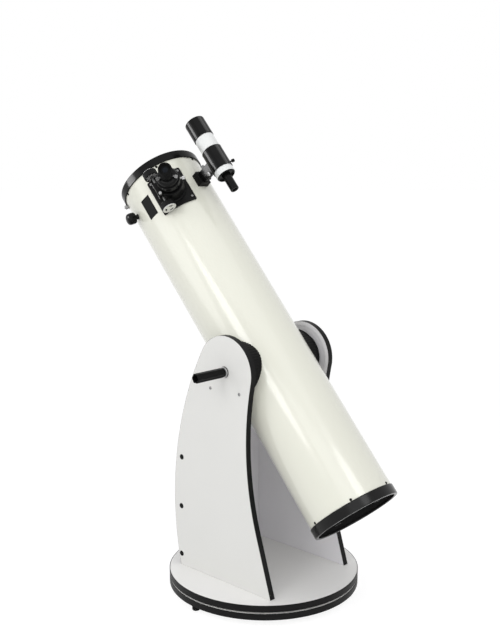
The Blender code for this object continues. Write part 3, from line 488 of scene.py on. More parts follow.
def settle(name, bm, finishes, body, replaced=(), place=None, sharp=40):
    """Makes a mesh a finished piece: in place, smooth, with its finish, riding on its body."""
    if place is not None:
        moved(bm, place)
    bmesh.ops.dissolve_degenerate(bm, dist=1e-6, edges=bm.edges)
    mesh = bpy.data.meshes.new(name)
    bm.to_mesh(mesh)
    bm.free()
    for finish in finishes if isinstance(finishes, list) else [finishes]:
        mesh.materials.append(finish.material)
    mesh.shade_smooth()
    mesh.set_sharp_from_angle(angle=math.radians(sharp))
    piece = bpy.data.objects.new(name, mesh)
    scene.collection.objects.link(piece)
    even = piece.modifiers.new("even_shading", "WEIGHTED_NORMAL")
    even.keep_sharp = True
    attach(piece, body)
    if replaced:
        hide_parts(*replaced)
    print(f"{name}: {len(mesh.polygons)} faces on {body}")


print("placing, cutting and finishing ready")

# %% [markdown]
# ## Ground board
# The ground board is a round of laminated board on three rubber feet. A black plastic tape closes
# its edge. A nylon ring carries the turning board, and one bolt holds the two together.

# %% Ground board
BOARD_CORE, TAPE_INNER, TAPE_OUTER = 0.2616, 0.2619, 0.2633
GROUND_LOW, GROUND_HIGH, GROUND_HOLE = 0.020, 0.038, 0.0053
ROUND_STEPS = 144
FOOT_CIRCLE, FOOT_START = 0.2425, math.radians(55)
FOOT_PROFILE = mm(
    (0, 4.5), (3.6, 4.5), (4.2, 0.5), (4.8, 0), (8.8, 0), (9.8, 1), (10.5, 3.2), (10.5, 15), (9.8, 16),
    (9.8, 18.5), (10.2, 19.7), (0, 19.7),
)


def round_board(name, node, body, hole, low, high, lip=0.0):
    """A round of laminated board, and the black tape round its edge, which may hang below it."""
    disc = soften(ring(hole, BOARD_CORE, low, high, ROUND_STEPS), 0.0004)
    settle(f"{name}_disc", disc, BOARD_MELAMINE, body, [node])
    tape = soften(ring(TAPE_INNER, TAPE_OUTER, low - lip, high, ROUND_STEPS), 0.0005)
    settle(f"{name}_tape", tape, EDGE_TAPE, body, [f"{node}_edge"])


round_board("ground", "ground_board", "ground", GROUND_HOLE, GROUND_LOW, GROUND_HIGH)
for number, turn in enumerate(turns(3, FOOT_START), 1):
    foot = soften(turned(FOOT_PROFILE, 40), 0.0003)
    spot = on_circle(FOOT_CIRCLE, turn)
    settle(f"rubber_foot_{number}", foot, SOFT_RUBBER, "ground", [f"foot_{number}"], spot)

# %% Glide ring and pivot
HEAD_LOW, HEAD_HIGH, SHANK_LOW, SHANK_HIGH = 0.0142, 0.0197, 0.0195, 0.0716
NUT_LOW, NUT_HIGH = 0.0637, 0.0692
runner = soften(ring(0.220, 0.250, 0.0383, 0.0423, ROUND_STEPS), 0.0006)
settle("glide_ring", runner, WHITE_NYLON, "ground", ["azimuth_runner"])
bolt_head = soften(rod(0.0085, HEAD_LOW, HEAD_HIGH, 6), 0.0005)
bolt_shank = soften(rod(0.005, SHANK_LOW, SHANK_HIGH, 32), 0.0007)
stud = together(bolt_head, bolt_shank)
settle("pivot_stud", stud, ZINC_STEEL, "ground", ["azimuth_pivot_bolt"])
nut = soften(ring(0.0063, 0.0085, NUT_LOW, NUT_HIGH, 6), 0.0005)
settle("pivot_lock_nut", nut, ZINC_STEEL, "ground", ["azimuth_pivot_nut"])

# %% [markdown]
# ## Rocker box
# Two curved side panels and a front board stand on the turning board. The panel's edge is three
# arcs that meet smoothly, so its outline is drawn by spinning one point round three centres in turn.
# Filling that outline and extruding it gives the panel, and two such outlines bridged together
# give the black tape round its edge. A shallow round recess leaves room for the tube's bearing.

# %% Turning board
TURN_LOW, TURN_HIGH, TURN_HOLE = 0.0426, 0.0606, 0.0087
TAPE_LIP = 0.0005
BUSH_PROFILE = [
    (0.0054, TURN_LOW), (0.0084, TURN_LOW), (0.0084, 0.0609), (0.0144, 0.0609), (0.0144, 0.0634),
    (0.0054, 0.0634),
]
round_board("turning", "rocker_board", "rocker", TURN_HOLE, TURN_LOW, TURN_HIGH, TAPE_LIP)
bush = soften(turned(BUSH_PROFILE, 40), 0.0004)
settle("pivot_bush", bush, WHITE_NYLON, "rocker", ["pivot_bushing"])

# %% Side panels
SIDES = (("left", -1), ("right", 1))
PANEL_SEAT = Vector((0, -0.010, 0.0609))
PANEL_INNER, PANEL_OUTER = 0.1437, 0.161
AXIS_HEIGHT = 0.579
CROWN_RADIUS = 0.094
FRONT_ARC, FRONT_BULGE = 0.88, 0.19
REAR_ARC, REAR_WAIST = 0.80, 0.40
FLARE = math.radians(17.2)
RECESS_FLOOR, RECESS_RADIUS, STUD_HOLE = 0.146, 0.082, 0.0065
POCKET_PROFILE = [
    (0, -0.1), (RECESS_RADIUS, -0.1), (RECESS_RADIUS, RECESS_FLOOR), (STUD_HOLE, RECESS_FLOOR),
    (STUD_HOLE, 1), (0, 1),
]


def panel_edge(bm, inset):
    """Draws the panel's edge in Y and Z from its front foot to its rear foot."""
    rise = AXIS_HEIGHT - FRONT_BULGE
    front_y = -math.sqrt((FRONT_ARC - CROWN_RADIUS) ** 2 - rise**2)
    front_end = math.atan2(rise, -front_y)
    drop = AXIS_HEIGHT - REAR_WAIST
    rear_y = -math.sqrt((REAR_ARC + CROWN_RADIUS) ** 2 - drop**2)
    rear_start = math.atan2(drop, -rear_y)
    radius = FRONT_ARC - inset
    front_low = -math.asin(FRONT_BULGE / radius)
    start = bm.verts.new((0, front_y + radius * math.cos(front_low), 0))
    arcs = (
        ((0, front_y, FRONT_BULGE), front_end - front_low, 40),
        ((0, 0, AXIS_HEIGHT), math.pi + rear_start - front_end, 56),
        ((0, rear_y, REAR_WAIST), -(FLARE + rear_start), 36),
    )
    last = start
    for centre, angle, steps in arcs:
        arc = bmesh.ops.spin(
            bm, geom=[last], cent=centre, axis=(1, 0, 0), dvec=(0, 0, 0), angle=angle, steps=steps
        )
        last = arc["geom_last"][0]
    foot = bmesh.ops.extrude_vert_indiv(bm, verts=[last])["verts"][0]
    foot.co = (0, last.co.y - last.co.z * math.tan(FLARE), 0)
    return start, foot


def thickened(bm, depth):
    """Extrudes a flat sheet along X into a plate."""
    grown = bmesh.ops.extrude_face_region(bm, geom=bm.faces[:])
    verts = [item for item in grown["geom"] if isinstance(item, bmesh.types.BMVert)]
    bmesh.ops.translate(bm, vec=(depth, 0, 0), verts=verts)
    return tidy(bm)


for side, sign in SIDES:
    near = min(sign * PANEL_INNER, sign * PANEL_OUTER)
    seat = Matrix.Translation(PANEL_SEAT + Vector((near, 0, 0)))
    sheet = bmesh.new()
    start, foot = panel_edge(sheet, 0.0003)
    sheet.edges.new((start, foot))
    bmesh.ops.contextual_create(sheet, geom=sheet.edges[:])
    board = thickened(sheet, PANEL_OUTER - PANEL_INNER)
    pocket = moved(turned(POCKET_PROFILE, 72), aim((sign, 0, 0), (-near, 0, AXIS_HEIGHT)))
    board = carve(board, pocket)
    for face in board.faces:
        # Faces that look into the box take the lighter, lavender laminate: painted fill light.
        face.material_index = 1 if face.normal.x * sign < -0.9 else 0
    board = soften(board, 0.0003)
    melamines = [WHITE_MELAMINE, PAINTED_FILL_MELAMINE]
    settle(f"{side}_panel", board, melamines, "rocker", [f"{side}_side_panel"], seat)

    band = bmesh.new()
    panel_edge(band, 0)
    panel_edge(band, 0.00025)
    bmesh.ops.bridge_loops(band, edges=band.edges[:])
    band = thickened(band, PANEL_OUTER - PANEL_INNER)
    settle(f"{side}_panel_tape", band, EDGE_TAPE, "rocker", [f"{side}_panel_edge"], seat)

# %% Screw caps, rollers and front board
CAP_SPOTS = ((0.157, 0.3766), (0.161, 0.2346), (0.163, 0.0936))
POST_SCREW_SPOTS = ((0.0420, 0.5894), (-0.0620, 0.5894))
ROLLER_HEIGHT = 0.58938
CAP_PROFILE = mm((0, 2), (3.4, 1.9), (6, 1.4), (7.3, 0.5), (7.6, 0.05), (0, 0.05))
PAN_PROFILE = mm((0, 1.1), (0.9, 1.1), (1.2, 2.2), (2.9, 2), (4.1, 1), (4.4, 0.05), (0, 0.05))
ROLLER_PROFILE = mm(
    (0, 126.4), (3.5, 126.4), (3.5, 128.4), (9.5, 128.4), (9.5, 132.5), (9.1, 133), (9.1, 139),
    (9.5, 139.5), (9.5, 145.7), (0, 145.7),
)
for side, sign in SIDES:
    out = (sign, 0, 0)
    for name, profile, steps, spots, finish, slot in (
        ("screw_caps", CAP_PROFILE, 28, CAP_SPOTS, MOULDED_BLACK, "black_plastic"),
        ("post_screws", PAN_PROFILE, 24, POST_SCREW_SPOTS, ZINC_STEEL, "black_steel"),
    ):
        heads = copies(turned(profile, steps), [aim(out, (sign * PANEL_OUTER, y, z)) for y, z in spots])
        settle(f"{side}_{name}", heads, finish, "rocker")
    for end, y in (("front", 0.04201), ("rear", -0.06201)):
        roller = soften(turned(ROLLER_PROFILE, 36), 0.0004)
        home = aim(out, (0, y, ROLLER_HEIGHT))
        settle(f"{side}_{end}_roller", roller, WHITE_NYLON, "rocker", [f"{side}_{end}_post"], home)

CROSS_HALF, CROSS_REAR, CROSS_FRONT = 0.1434, 0.1525, 0.1675
# The cross board takes the lighter, lavender laminate: painted fill light inside the box.
front = soften(block((-CROSS_HALF, CROSS_REAR, 0.0609), (CROSS_HALF, CROSS_FRONT, 0.4199)), 0.0004)
settle("cross_board", front, PAINTED_FILL_MELAMINE, "rocker", ["front_board"])
top_tape = soften(block((-CROSS_HALF, CROSS_REAR, 0.4200), (CROSS_HALF, CROSS_FRONT, 0.4206)), 0.0002)
settle("cross_board_tape", top_tape, EDGE_TAPE, "rocker")

# %% [markdown]
# ## Tension handles
# A ribbed black handle screws on to the altitude axis at each side and presses the panel, so the
# tube swings with just the right drag. A plated washer sits at its root, over a thin black ring
# that is painted shadow for the dark gap next to the panel.

# %% Tension handles
ALTITUDE_AXIS = Vector((0, -0.010, 0.6396))
GRIP_TIPS = {"left": 0.2636, "right": 0.2540}
for side, sign in SIDES:
    home = aim((sign, 0, 0), ALTITUDE_AXIS)
    shank = soften(rod(0.005, 0.1264, 0.1635, 32), 0.0006)
    washer = soften(ring(0.0045, 0.0141, 0.1631, 0.1673), 0.0006, 3)
    # A thin black rubber ring under the washer: painted shadow for the gap between washer and panel.
    shadow_ring = soften(ring(0.0045, 0.0149, 0.1613, 0.1630), 0.0004)
    stud = together(tint(shank, 0), tint(washer, 0), tint(shadow_ring, 1))
    stud_finishes = [WASHER_STEEL, SOFT_RUBBER]
    settle(f"{side}_stud", stud, stud_finishes, f"{side}_handle", [f"{side}_handle_bolt"], home)
    tip = GRIP_TIPS[side]
    grip_profile = [
        (0, 0.1676), (0.0112, 0.1676), (0.0120, 0.1684), (0.0120, 0.1715), (0.0130, 0.1730),
        (0.0130, tip - 0.0018), (0.0127, tip - 0.0005), (0.0120, tip), (0.0108, tip - 0.0002),
        (0.0101, tip - 0.0012), (0.0098, tip - 0.0136), (0, tip - 0.0146),
    ]
    grip = flute(turned(grip_profile, 96), 6, 0.0016, 0.0095, 0.1720, 0.2640)
    node = f"{side}_handle_grip"
    settle(f"{side}_grip", grip, MOULDED_BLACK, f"{side}_handle", [node], home, 34)

# %% [markdown]
# ## Tube
# The tube is rolled steel: cream enamel outside, dead black inside. It is one closed wall with a
# hole under the focuser. Moulded rings cap both ends, held by six small screws each.
# Positions on it are given by how far along it they are and by an angle round it.

# %% Tube
ALTITUDE_DEG = 48.7
TUBE = Matrix.Translation(ALTITUDE_AXIS) @ Matrix.Rotation(math.radians(ALTITUDE_DEG - 90), 4, "X")
TUBE_RADIUS, TUBE_BORE = 0.1175, 0.1165
TUBE_LOW, TUBE_HIGH = -0.4672, 0.6291
FOCUSER_AXIAL, FOCUSER_DEG = 0.5215, 43


def radial(axial, angle_deg, height=0.0):
    """A place on the tube: X along it to the sky, Z out through its wall, at a distance from its middle."""
    angle = math.radians(angle_deg)
    out = Vector((-math.sin(angle), -math.cos(angle), 0))
    turn = Matrix((UP, out.cross(UP), out)).transposed().to_4x4()
    return TUBE @ Matrix.Translation((0, 0, axial)) @ turn @ Matrix.Translation((0, 0, height))


FOCUSER = radial(FOCUSER_AXIAL, FOCUSER_DEG)
wall = ring(TUBE_BORE, TUBE_RADIUS, TUBE_LOW, TUBE_HIGH, 192)
wall = carve(wall, moved(rod(0.0299, 0.06, 0.16, 48), TUBE.inverted() @ FOCUSER))
for face in wall.faces:
    middle = face.calc_center_median()
    faces_out = face.normal.dot(Vector((middle.x, middle.y, 0))) > 0
    face.material_index = 0 if faces_out and middle.xy.length > TUBE_RADIUS - 0.0003 else 1
settle("tube_wall", wall, [CREAM_ENAMEL, LINING_BLACK], "optical_tube", ["tube"], TUBE)

# %% End rings and their screws
MOUTH_PROFILE = mm(
    (117.8, 609.4), (120.6, 609.4), (121.3, 610.1), (121.4, 611.5), (121.4, 630.8), (120.9, 632.5),
    (119.4, 633.4), (114.2, 633.4), (112.8, 632.8), (112.5, 631.4), (112.5, 629.4), (117.8, 629.4),
)
TAIL_PROFILE = mm(
    (117.8, -444.5), (119.4, -444.5), (119.9, -445.1), (120, -446.5), (120, -468.8), (119.5, -470.6),
    (118, -471.5), (112.2, -471.5), (110.8, -470.8), (110.5, -469.4), (110.5, -467.5), (117.8, -467.5),
)
RING_SCREW = mm((0, 1.4), (0.9, 1.4), (1.1, 2.3), (2.2, 2.1), (3.2, 1.2), (3.5, 0.1), (0, 0.1))
mouth_ring = turned(MOUTH_PROFILE, 160)
settle("mouth_ring", mouth_ring, GLOSS_BLACK, "optical_tube", ["front_ring"], TUBE)
tail_ring = turned(TAIL_PROFILE, 160)
settle("tail_ring", tail_ring, SATIN_BLACK, "optical_tube", ["rear_ring"], TUBE)
for name, axial in (("mouth_screws", 0.6056), ("tail_screws", -0.4405)):
    spots = [radial(axial, 44.7 + 60 * number, TUBE_RADIUS) for number in range(6)]
    settle(name, copies(turned(RING_SCREW, 24), spots), MOULDED_BLACK, "optical_tube")

# %% [markdown]
# ## Altitude bearings
# A big moulded disc on each side of the tube carries it. Its wide flange is saddled to the tube,
# and its narrower journal rides on the nylon posts of the rocker box.

# %% Altitude bearings
TUBE_TOOL_RADIUS = 0.1178
BEARING_PROFILE = mm(
    (0, 86), (74.5, 86), (74.5, 122), (75, 122.5), (75, 125.2), (74.2, 126), (62.5, 126), (62.5, 144.2),
    (61.7, 145), (56, 145), (55.2, 140), (18, 140), (17.2, 145), (6.2, 145), (5.4, 144.2), (5.4, 126),
    (0, 126),
)
for side, sign in SIDES:
    disc = flute(turned(BEARING_PROFILE, 240), 60, 0.0010, 0.0740, 0.0850, 0.1222)
    disc = moved(disc, aim((sign, 0, 0)))
    disc = carve(disc, rod(TUBE_TOOL_RADIUS, -0.2, 0.2, 96))
    node = f"{side}_altitude_bearing"
    settle(f"{side}_bearing", disc, MOULDED_BLACK, "optical_tube", [node], TUBE, 30)

# %% [markdown]
# ## Primary mirror and its cell
# The mirror is a thick glass disc, hollowed very slightly and silvered in front. Three clips hold
# it on a cast plate. Three spring-loaded knobs behind it tilt the plate against a fixed frame.

# %% Primary mirror and its cell
MIRROR_PROFILE = mm(
    (0, -424), (100.5, -424), (101.5, -423), (101.5, -400.7), (100.8, -400), (87, -400.57),
    (72.5, -401.03), (58, -401.41), (43.5, -401.71), (29, -401.93), (14.5, -402.06), (0, -402.1),
)
PLATE_PROFILE = mm(
    (0, -430.3), (42, -430.3), (44, -428.8), (86, -428.8), (88, -430.3), (107, -430.3), (107, -424.3),
    (0, -424.3),
)
mirror_bm = turned(MIRROR_PROFILE, 96)
for face in mirror_bm.faces:
    face.material_index = 0 if face.normal.z > 0.8 else 1
silvered = [MIRROR_COAT, MIRROR_EDGE]
settle("main_mirror", mirror_bm, silvered, "mirror_cell", ["primary_mirror"], TUBE)

ARM_TURNS = turns(3, math.pi / 2)
BOLT_SPOTS = [on_circle(0.070, turn) for turn in ARM_TURNS]
plate = soften(turned(PLATE_PROFILE, 96), 0.0005)
plate = carve(plate, copies(rod(0.0038, -0.44, -0.42, 20), BOLT_SPOTS))
clips = []
for turn in ARM_TURNS:
    post = block((-0.007, 0.1018, -0.4243), (0.007, 0.1060, -0.3972))
    lip = block((-0.007, 0.0975, -0.3997), (0.007, 0.1055, -0.3972))
    screw = moved(turned(PAN_PROFILE, 16), Matrix.Translation((0, 0.1033, -0.3972)))
    clip = together(soften(post, 0.0004), soften(lip, 0.0004), screw)
    clips.append(spun(clip, turn - math.pi / 2))
plate = together(plate, *clips)
settle("cell_plate", plate, CAST_ALUMINIUM, "mirror_cell", ["mirror_cell_plate"], TUBE)

# %% Cell frame, springs and knobs
FRAME_LOW, FRAME_HIGH = -0.4483, -0.4403
ARM_INSET = 0.0002
rim = ring(0.1032, 0.1162, FRAME_LOW, FRAME_HIGH, 96)
cell_frame = carve(rim, rod(0.030, FRAME_LOW, FRAME_HIGH, 48), "UNION")
for turn in ARM_TURNS:
    arm = block((0.010, -0.012, FRAME_LOW + ARM_INSET), (0.110, 0.012, FRAME_HIGH - ARM_INSET))
    cell_frame = carve(cell_frame, spun(arm, turn), "UNION")
cell_frame = carve(cell_frame, copies(rod(0.0034, -0.46, -0.43, 20), BOLT_SPOTS))
settle("cell_spider", cell_frame, CAST_BLACK, "optical_tube", ["mirror_cell_frame"], TUBE, 30)

COIL_TURNS, COIL_STEPS, COIL_HEIGHT = 3, 72, 0.0084
COIL_RADIUS, WIRE_RADIUS = 0.0062, 0.0007
KNOB_PROFILE = mm(
    (0, -459), (5, -459), (5.8, -460.6), (9.5, -460.6), (11, -459.2), (11, -450), (10, -448.6),
    (3, -448.6), (3, -427.3), (0, -427.3),
)
LOCK_PROFILE = mm(
    (0, -454.5), (1.8, -454.5), (1.8, -456), (4.2, -456), (4.6, -455.4), (4.6, -448.3), (0, -448.3),
)
for number, spot in enumerate(BOLT_SPOTS, 1):
    wire = bmesh.new()
    section = Matrix.Translation((COIL_RADIUS, 0, 0)) @ Matrix.Rotation(math.pi / 2, 4, "X")
    bmesh.ops.create_circle(wire, segments=8, radius=WIRE_RADIUS, matrix=section)
    bmesh.ops.spin(
        wire, geom=wire.verts[:] + wire.edges[:], cent=(0, 0, 0), axis=UP,
        dvec=(0, 0, COIL_HEIGHT / COIL_STEPS), angle=FULL_TURN * COIL_TURNS, steps=COIL_STEPS,
    )
    bmesh.ops.holes_fill(wire, edges=wire.edges)
    coil = moved(tidy(wire), spot @ Matrix.Translation((0, 0, FRAME_HIGH + 0.0008)))
    settle(f"cell_spring_{number}", coil, ZINC_STEEL, "optical_tube", place=TUBE)
    knob = flute(turned(KNOB_PROFILE, 96), 12, 0.0010, 0.0094, -0.4607, -0.449)
    settle(
        f"tilt_knob_{number}", knob, MOULDED_BLACK, f"cell_knob_{number}",
        [f"collimation_knob_{number}"], TUBE @ spot, 30,
    )
lock_spots = [on_circle(0.110, turn + 0.32) for turn in ARM_TURNS]
locks = copies(soften(turned(LOCK_PROFILE, 24), 0.0003), lock_spots)
settle("cell_lock_screws", locks, ZINC_STEEL, "optical_tube", place=TUBE)

# %% [markdown]
# ## Spider and secondary mirror
# Four thin vanes hold a hub in the tube's mouth. Two of them have a thumb nut outside the tube.
# The flat secondary mirror sits on the hub's stalk at 45 degrees and looks at the focuser.

# %% Spider
HUB_PROFILE = mm(
    (0, 592), (14.8, 592), (16, 593.2), (16, 608.8), (14.8, 610), (6, 610), (6, 609), (0, 609),
)
HUB_BOLT = mm((0, 608.9), (3.5, 608.9), (3.5, 611.8), (1.6, 611.8), (1.6, 610.5), (0, 610.5))
HUB_SCREW = mm((0, 610.7), (1.1, 610.7), (1.1, 611.4), (2.1, 611.4), (2.2, 610), (0, 610))
THUMB_NUT = mm((0, 0.1), (5, 0.1), (5.8, 0.8), (5.8, 8.8), (5, 9.8), (2.2, 9.8), (1.8, 12), (0, 12))
TO_FOCUSER = -math.radians(90 + FOCUSER_DEG)
spider_parts = [turned(HUB_PROFILE, 48), soften(turned(HUB_BOLT, 24), 0.0003)]
spider_parts.append(copies(turned(HUB_SCREW, 16), [on_circle(0.0108, turn) for turn in turns(3)]))
for turn in turns(4, TO_FOCUSER):
    vane = soften(block((0.0155, -0.0006, 0.592), (0.1160, 0.0006, 0.610)), 0.0002)
    tab = soften(block((0.1080, -0.0022, 0.5935), (0.1161, 0.0022, 0.6085)), 0.0004)
    spider_parts.append(spun(together(vane, tab), turn))
settle("vanes", together(*spider_parts), CAST_BLACK, "optical_tube", ["spider"], TUBE)
nut_spots = [radial(0.602, angle_deg, TUBE_RADIUS) for angle_deg in (-47, 133)]
thumb_nuts = copies(flute(turned(THUMB_NUT, 48), 16, 0.0004, 0.0054, 0.0007, 0.0090), nut_spots)
settle("vane_nuts", thumb_nuts, ZINC_STEEL, "optical_tube", sharp=30)

# %% Secondary mirror
DIAGONAL = TUBE @ Matrix.Translation((0, 0, FOCUSER_AXIAL)) @ Matrix.Rotation(TO_FOCUSER, 4, "Z")
FACE_NORMAL = Vector((1, 0, -1)).normalized()
GLASS_DEPTH, HOLDER_GAP = 0.008, 0.0003
HOLDER_PROFILE = mm((0, -50), (23.5, -50), (23.5, 48), (21.5, 50), (8, 50), (6, 52), (6, 70.2), (0, 70.2))


def sliced(bm, point, normal):
    """Cuts a mesh on a plane and closes the cut."""
    geometry = bm.verts[:] + bm.edges[:] + bm.faces[:]
    cut = bmesh.ops.bisect_plane(bm, geom=geometry, plane_co=point, plane_no=normal, clear_outer=True)
    edges = [item for item in cut["geom_cut"] if isinstance(item, bmesh.types.BMEdge)]
    bmesh.ops.edgenet_fill(bm, edges=edges)
    return tidy(bm)


flat = sliced(rod(0.025, -0.075, 0.075), (0, 0, 0), FACE_NORMAL)
flat = sliced(flat, FACE_NORMAL * -GLASS_DEPTH, -FACE_NORMAL)
for face in flat.faces:
    face.material_index = 0 if face.normal.dot(FACE_NORMAL) > 0.9 else 1
flat = soften(flat, 0.0004)
settle("diagonal_mirror", flat, silvered, "secondary", ["secondary_mirror"], DIAGONAL)
holder = sliced(turned(HOLDER_PROFILE), FACE_NORMAL * -(GLASS_DEPTH + HOLDER_GAP), FACE_NORMAL)
holder = soften(holder, 0.0005)
settle("diagonal_holder", holder, MOULDED_BLACK, "secondary", ["secondary_holder"], DIAGONAL)

# %% [markdown]
# ## Focuser
# The focuser is the finest part. A square saddle plate follows the tube and a conical body rises
# from it. The plate's section is two arcs bridged together and extruded, with its corners rounded.
# The body and the shaft's boss are joined on, and the tube and the bore are cut away.

# %% Focuser base
PLATE_HALF, PLATE_LENGTH, PLATE_TOP = 0.0495, 0.107, 0.1248
BODY_BORE = 0.0279
BODY_PROFILE = [
    (BODY_BORE, 0.1120), (0.0410, 0.1120), (0.0410, 0.1272), (0.0400, 0.1284), (0.0385, 0.1288),
    (0.0380, 0.1300), (0.0362, 0.1520), (0.0367, 0.1532), (0.0362, 0.1572), (0.0350, 0.1596),
    (0.0340, 0.1600), (0.0290, 0.1600), (BODY_BORE, 0.1590),
]


def saddle(inner, outer, half_width, length, corner, steps):
    """A plate that follows the tube: an arched section, extruded along it, with round corners."""
    bm = bmesh.new()
    for radius in (inner, outer):
        angle = math.asin(half_width / radius)
        start = bm.verts.new((-length / 2, radius * math.sin(angle), radius * math.cos(angle)))
        bmesh.ops.spin(
            bm, geom=[start], cent=(0, 0, 0), axis=(1, 0, 0), dvec=(0, 0, 0), angle=2 * angle, steps=steps
        )
    bmesh.ops.bridge_loops(bm, edges=bm.edges[:])
    bm = thickened(bm, length)

    def at_corner(vert):
        return abs(abs(vert.co.x) - length / 2) < 1e-5 and abs(abs(vert.co.y) - half_width) < 1e-5

    return bevelled(bm, [edge for edge in bm.edges if all(map(at_corner, edge.verts))], corner, 4)


def along_tube(half_length):
    """The tube's outside, as a tool that lies along X."""
    return moved(rod(TUBE_TOOL_RADIUS, -half_length, half_length, 144), aim((1, 0, 0)))


base = soften(saddle(0.1179, PLATE_TOP, PLATE_HALF, PLATE_LENGTH, 0.0035, 24), 0.0010, 2, 50)
base = carve(base, turned(BODY_PROFILE, 72), "UNION")
boss = soften(block((-0.022, 0.0290, 0.1405), (0.022, 0.0414, 0.1595)), 0.0025, 3)
base = carve(base, boss, "UNION")
base = carve(base, rod(BODY_BORE, 0.08, 0.17, 72))
base = carve(base, along_tube(0.3))
settle("focuser_body", base, CAST_BLACK, "optical_tube", ["focuser_base"], FOCUSER, 30)

# %% Focuser screws
SOCKET_SCREW = mm((0, 1.2), (1.6, 1.2), (1.8, 2.6), (2.8, 2.6), (3.3, 2.1), (3.3, 0.1), (0, 0.1))
BOSS_SCREW = mm((0, 0.6), (0.7, 0.6), (0.9, 1.4), (2, 1.1), (2.3, 0.1), (0, 0.1))
corner_spots = []
for x in (-0.0435, 0.0435):
    for y in (-0.0405, 0.0405):
        out = Vector((0, y, math.sqrt(PLATE_TOP**2 - y**2)))
        corner_spots.append(aim(out, (x, *out.yz)))
boss_spots = [aim((0, 1, 0), (x, 0.0414, z)) for x in (-0.018, 0.018) for z in (0.1445, 0.1555)]
for name, profile, steps, spots in (
    ("plate_bolts", SOCKET_SCREW, 24, corner_spots),
    ("boss_screws", BOSS_SCREW, 20, boss_spots),
):
    settle(name, copies(turned(profile, steps), spots), ZINC_STEEL, "optical_tube", place=FOCUSER)

# %% [markdown]
# The two focus knobs share a cross shaft. Each is a knurled black drum with a plated face, and three
# curved windows are cut through that face. The inner side is hollow with radial ribs.

# %% Focus knobs
SHAFT = FOCUSER @ aim((1, 0, 0), (0, 0.0319, 0.150))
KNOB_START = 0.0440
KNOB_BORE = 0.0046
WINDOW_START, WINDOW_SWEEP = 0.5, 1.0
DRUM_PROFILE = [
    (KNOB_BORE, 0.0), (0.0058, 0.0), (0.0062, 0.0040), (0.0172, 0.0040), (0.0176, 0.0002), (0.0190, 0.0),
    (0.0199, 0.0009), (0.0200, 0.0020), (0.0200, 0.0154), (0.0198, 0.0160), (KNOB_BORE, 0.0160),
]
FACE_PROFILE = [
    (0, 0.0158), (0.0193, 0.0158), (0.0193, 0.0167), (0.0187, 0.0172), (KNOB_BORE, 0.0172), (0.0040, 0.0175),
    (0, 0.0175),
]


def ring_sector(inner, outer, low, high, start, sweep):
    """A curved bar: a small rectangle spun part of the way round."""
    bm = bmesh.new()
    corners = [bm.verts.new((r, 0, z)) for r, z in ((inner, low), (outer, low), (outer, high), (inner, high))]
    lid = bm.faces.new(corners)
    bmesh.ops.spin(
        bm, geom=[lid, *lid.edges, *lid.verts], cent=(0, 0, 0), axis=UP, dvec=(0, 0, 0), angle=sweep, steps=14
    )
    bmesh.ops.holes_fill(bm, edges=bm.edges)
    return spun(tidy(bm), start)


shaft = soften(rod(0.003, -0.0437, 0.0437, 28), 0.0003)
settle("cross_shaft", shaft, DARK_STEEL, "focus_drive", ["focus_shaft"], SHAFT)
for end, way in (("upper", 1), ("lower", -1)):
    drum = flute(turned(DRUM_PROFILE, 160), 40, 0.0005, 0.0192, 0.0013, 0.0157)
    ribs = [spun(block((0.0055, -0.0008, 0.0006), (0.0176, 0.0008, 0.0043)), turn) for turn in turns(9)]
    ribs.append(ring(KNOB_BORE, 0.0085, 0.0010, 0.0042, 40))
    face_plate = turned(FACE_PROFILE, 96)
    for turn in turns(3, WINDOW_START):
        window = ring_sector(0.0078, 0.0126, 0.0161, 0.0185, turn, WINDOW_SWEEP)
        face_plate = carve(face_plate, window)
    window_floor = ring(0.0072, 0.0132, 0.0160, 0.0163)
    knob = together(tint(together(drum, window_floor), 0), tint(face_plate, 1), tint(together(*ribs), 2))
    home = SHAFT @ aim((0, 0, way)) @ Matrix.Translation((0, 0, KNOB_START))
    finishes = [ANODISED_BLACK, SPUN_ALUMINIUM, RIB_GREY]
    settle(f"{end}_knob", knob, finishes, "focus_drive", [f"focus_knob_{end}"], home, 28)

# %% [markdown]
# The drawtube slides in the body. Its collar holds an adapter, and the adapter holds the eyepiece,
# each gripped by a knurled thumbscrew. The eyepiece has a rubber cup.

# %% Drawtube and adapter
DRAWTUBE_PROFILE = mm(
    (25.4, 106), (27, 106), (27.5, 106.5), (27.5, 172), (31.2, 172), (32, 172.8), (32, 174.5),
    (31.4, 175.1), (31.4, 175.7), (32, 176.3), (32, 186.8), (31.2, 188), (25.8, 188), (25.4, 187.6),
)
NOSE_RADIUS, DOME_RADIUS = 0.0178, 0.0284
DOME_LOW, DOME_HIGH, NOSE_HIGH = 0.1933, 0.2035, 0.2160
draw = turned(DRAWTUBE_PROFILE, 120)
settle("draw_cylinder", draw, ANODISED_BLACK, "draw", ["drawtube"], FOCUSER, 30)

dome = []
for number in range(10):
    turn = math.pi / 2 * number / 9
    reach = (DOME_RADIUS - NOSE_RADIUS) * math.cos(turn)
    dome.append((NOSE_RADIUS + reach, DOME_LOW + (DOME_HIGH - DOME_LOW) * math.sin(turn)))
adapter_profile = [
    (0.016275, 0.1720), (0.0248, 0.1720), (0.0251, 0.1725), (0.0251, 0.1883), (0.0282, 0.1883),
    (0.0290, 0.1891), (0.0290, 0.1927), *dome, (NOSE_RADIUS, NOSE_HIGH - 0.0008),
    (NOSE_RADIUS - 0.0006, NOSE_HIGH), (0.0168, NOSE_HIGH), (0.016275, NOSE_HIGH - 0.0005),
]
sleeve = turned(adapter_profile, 96)
settle("adapter_sleeve", sleeve, ANODISED_BLACK, "draw", ["eyepiece_adapter"], FOCUSER, 30)

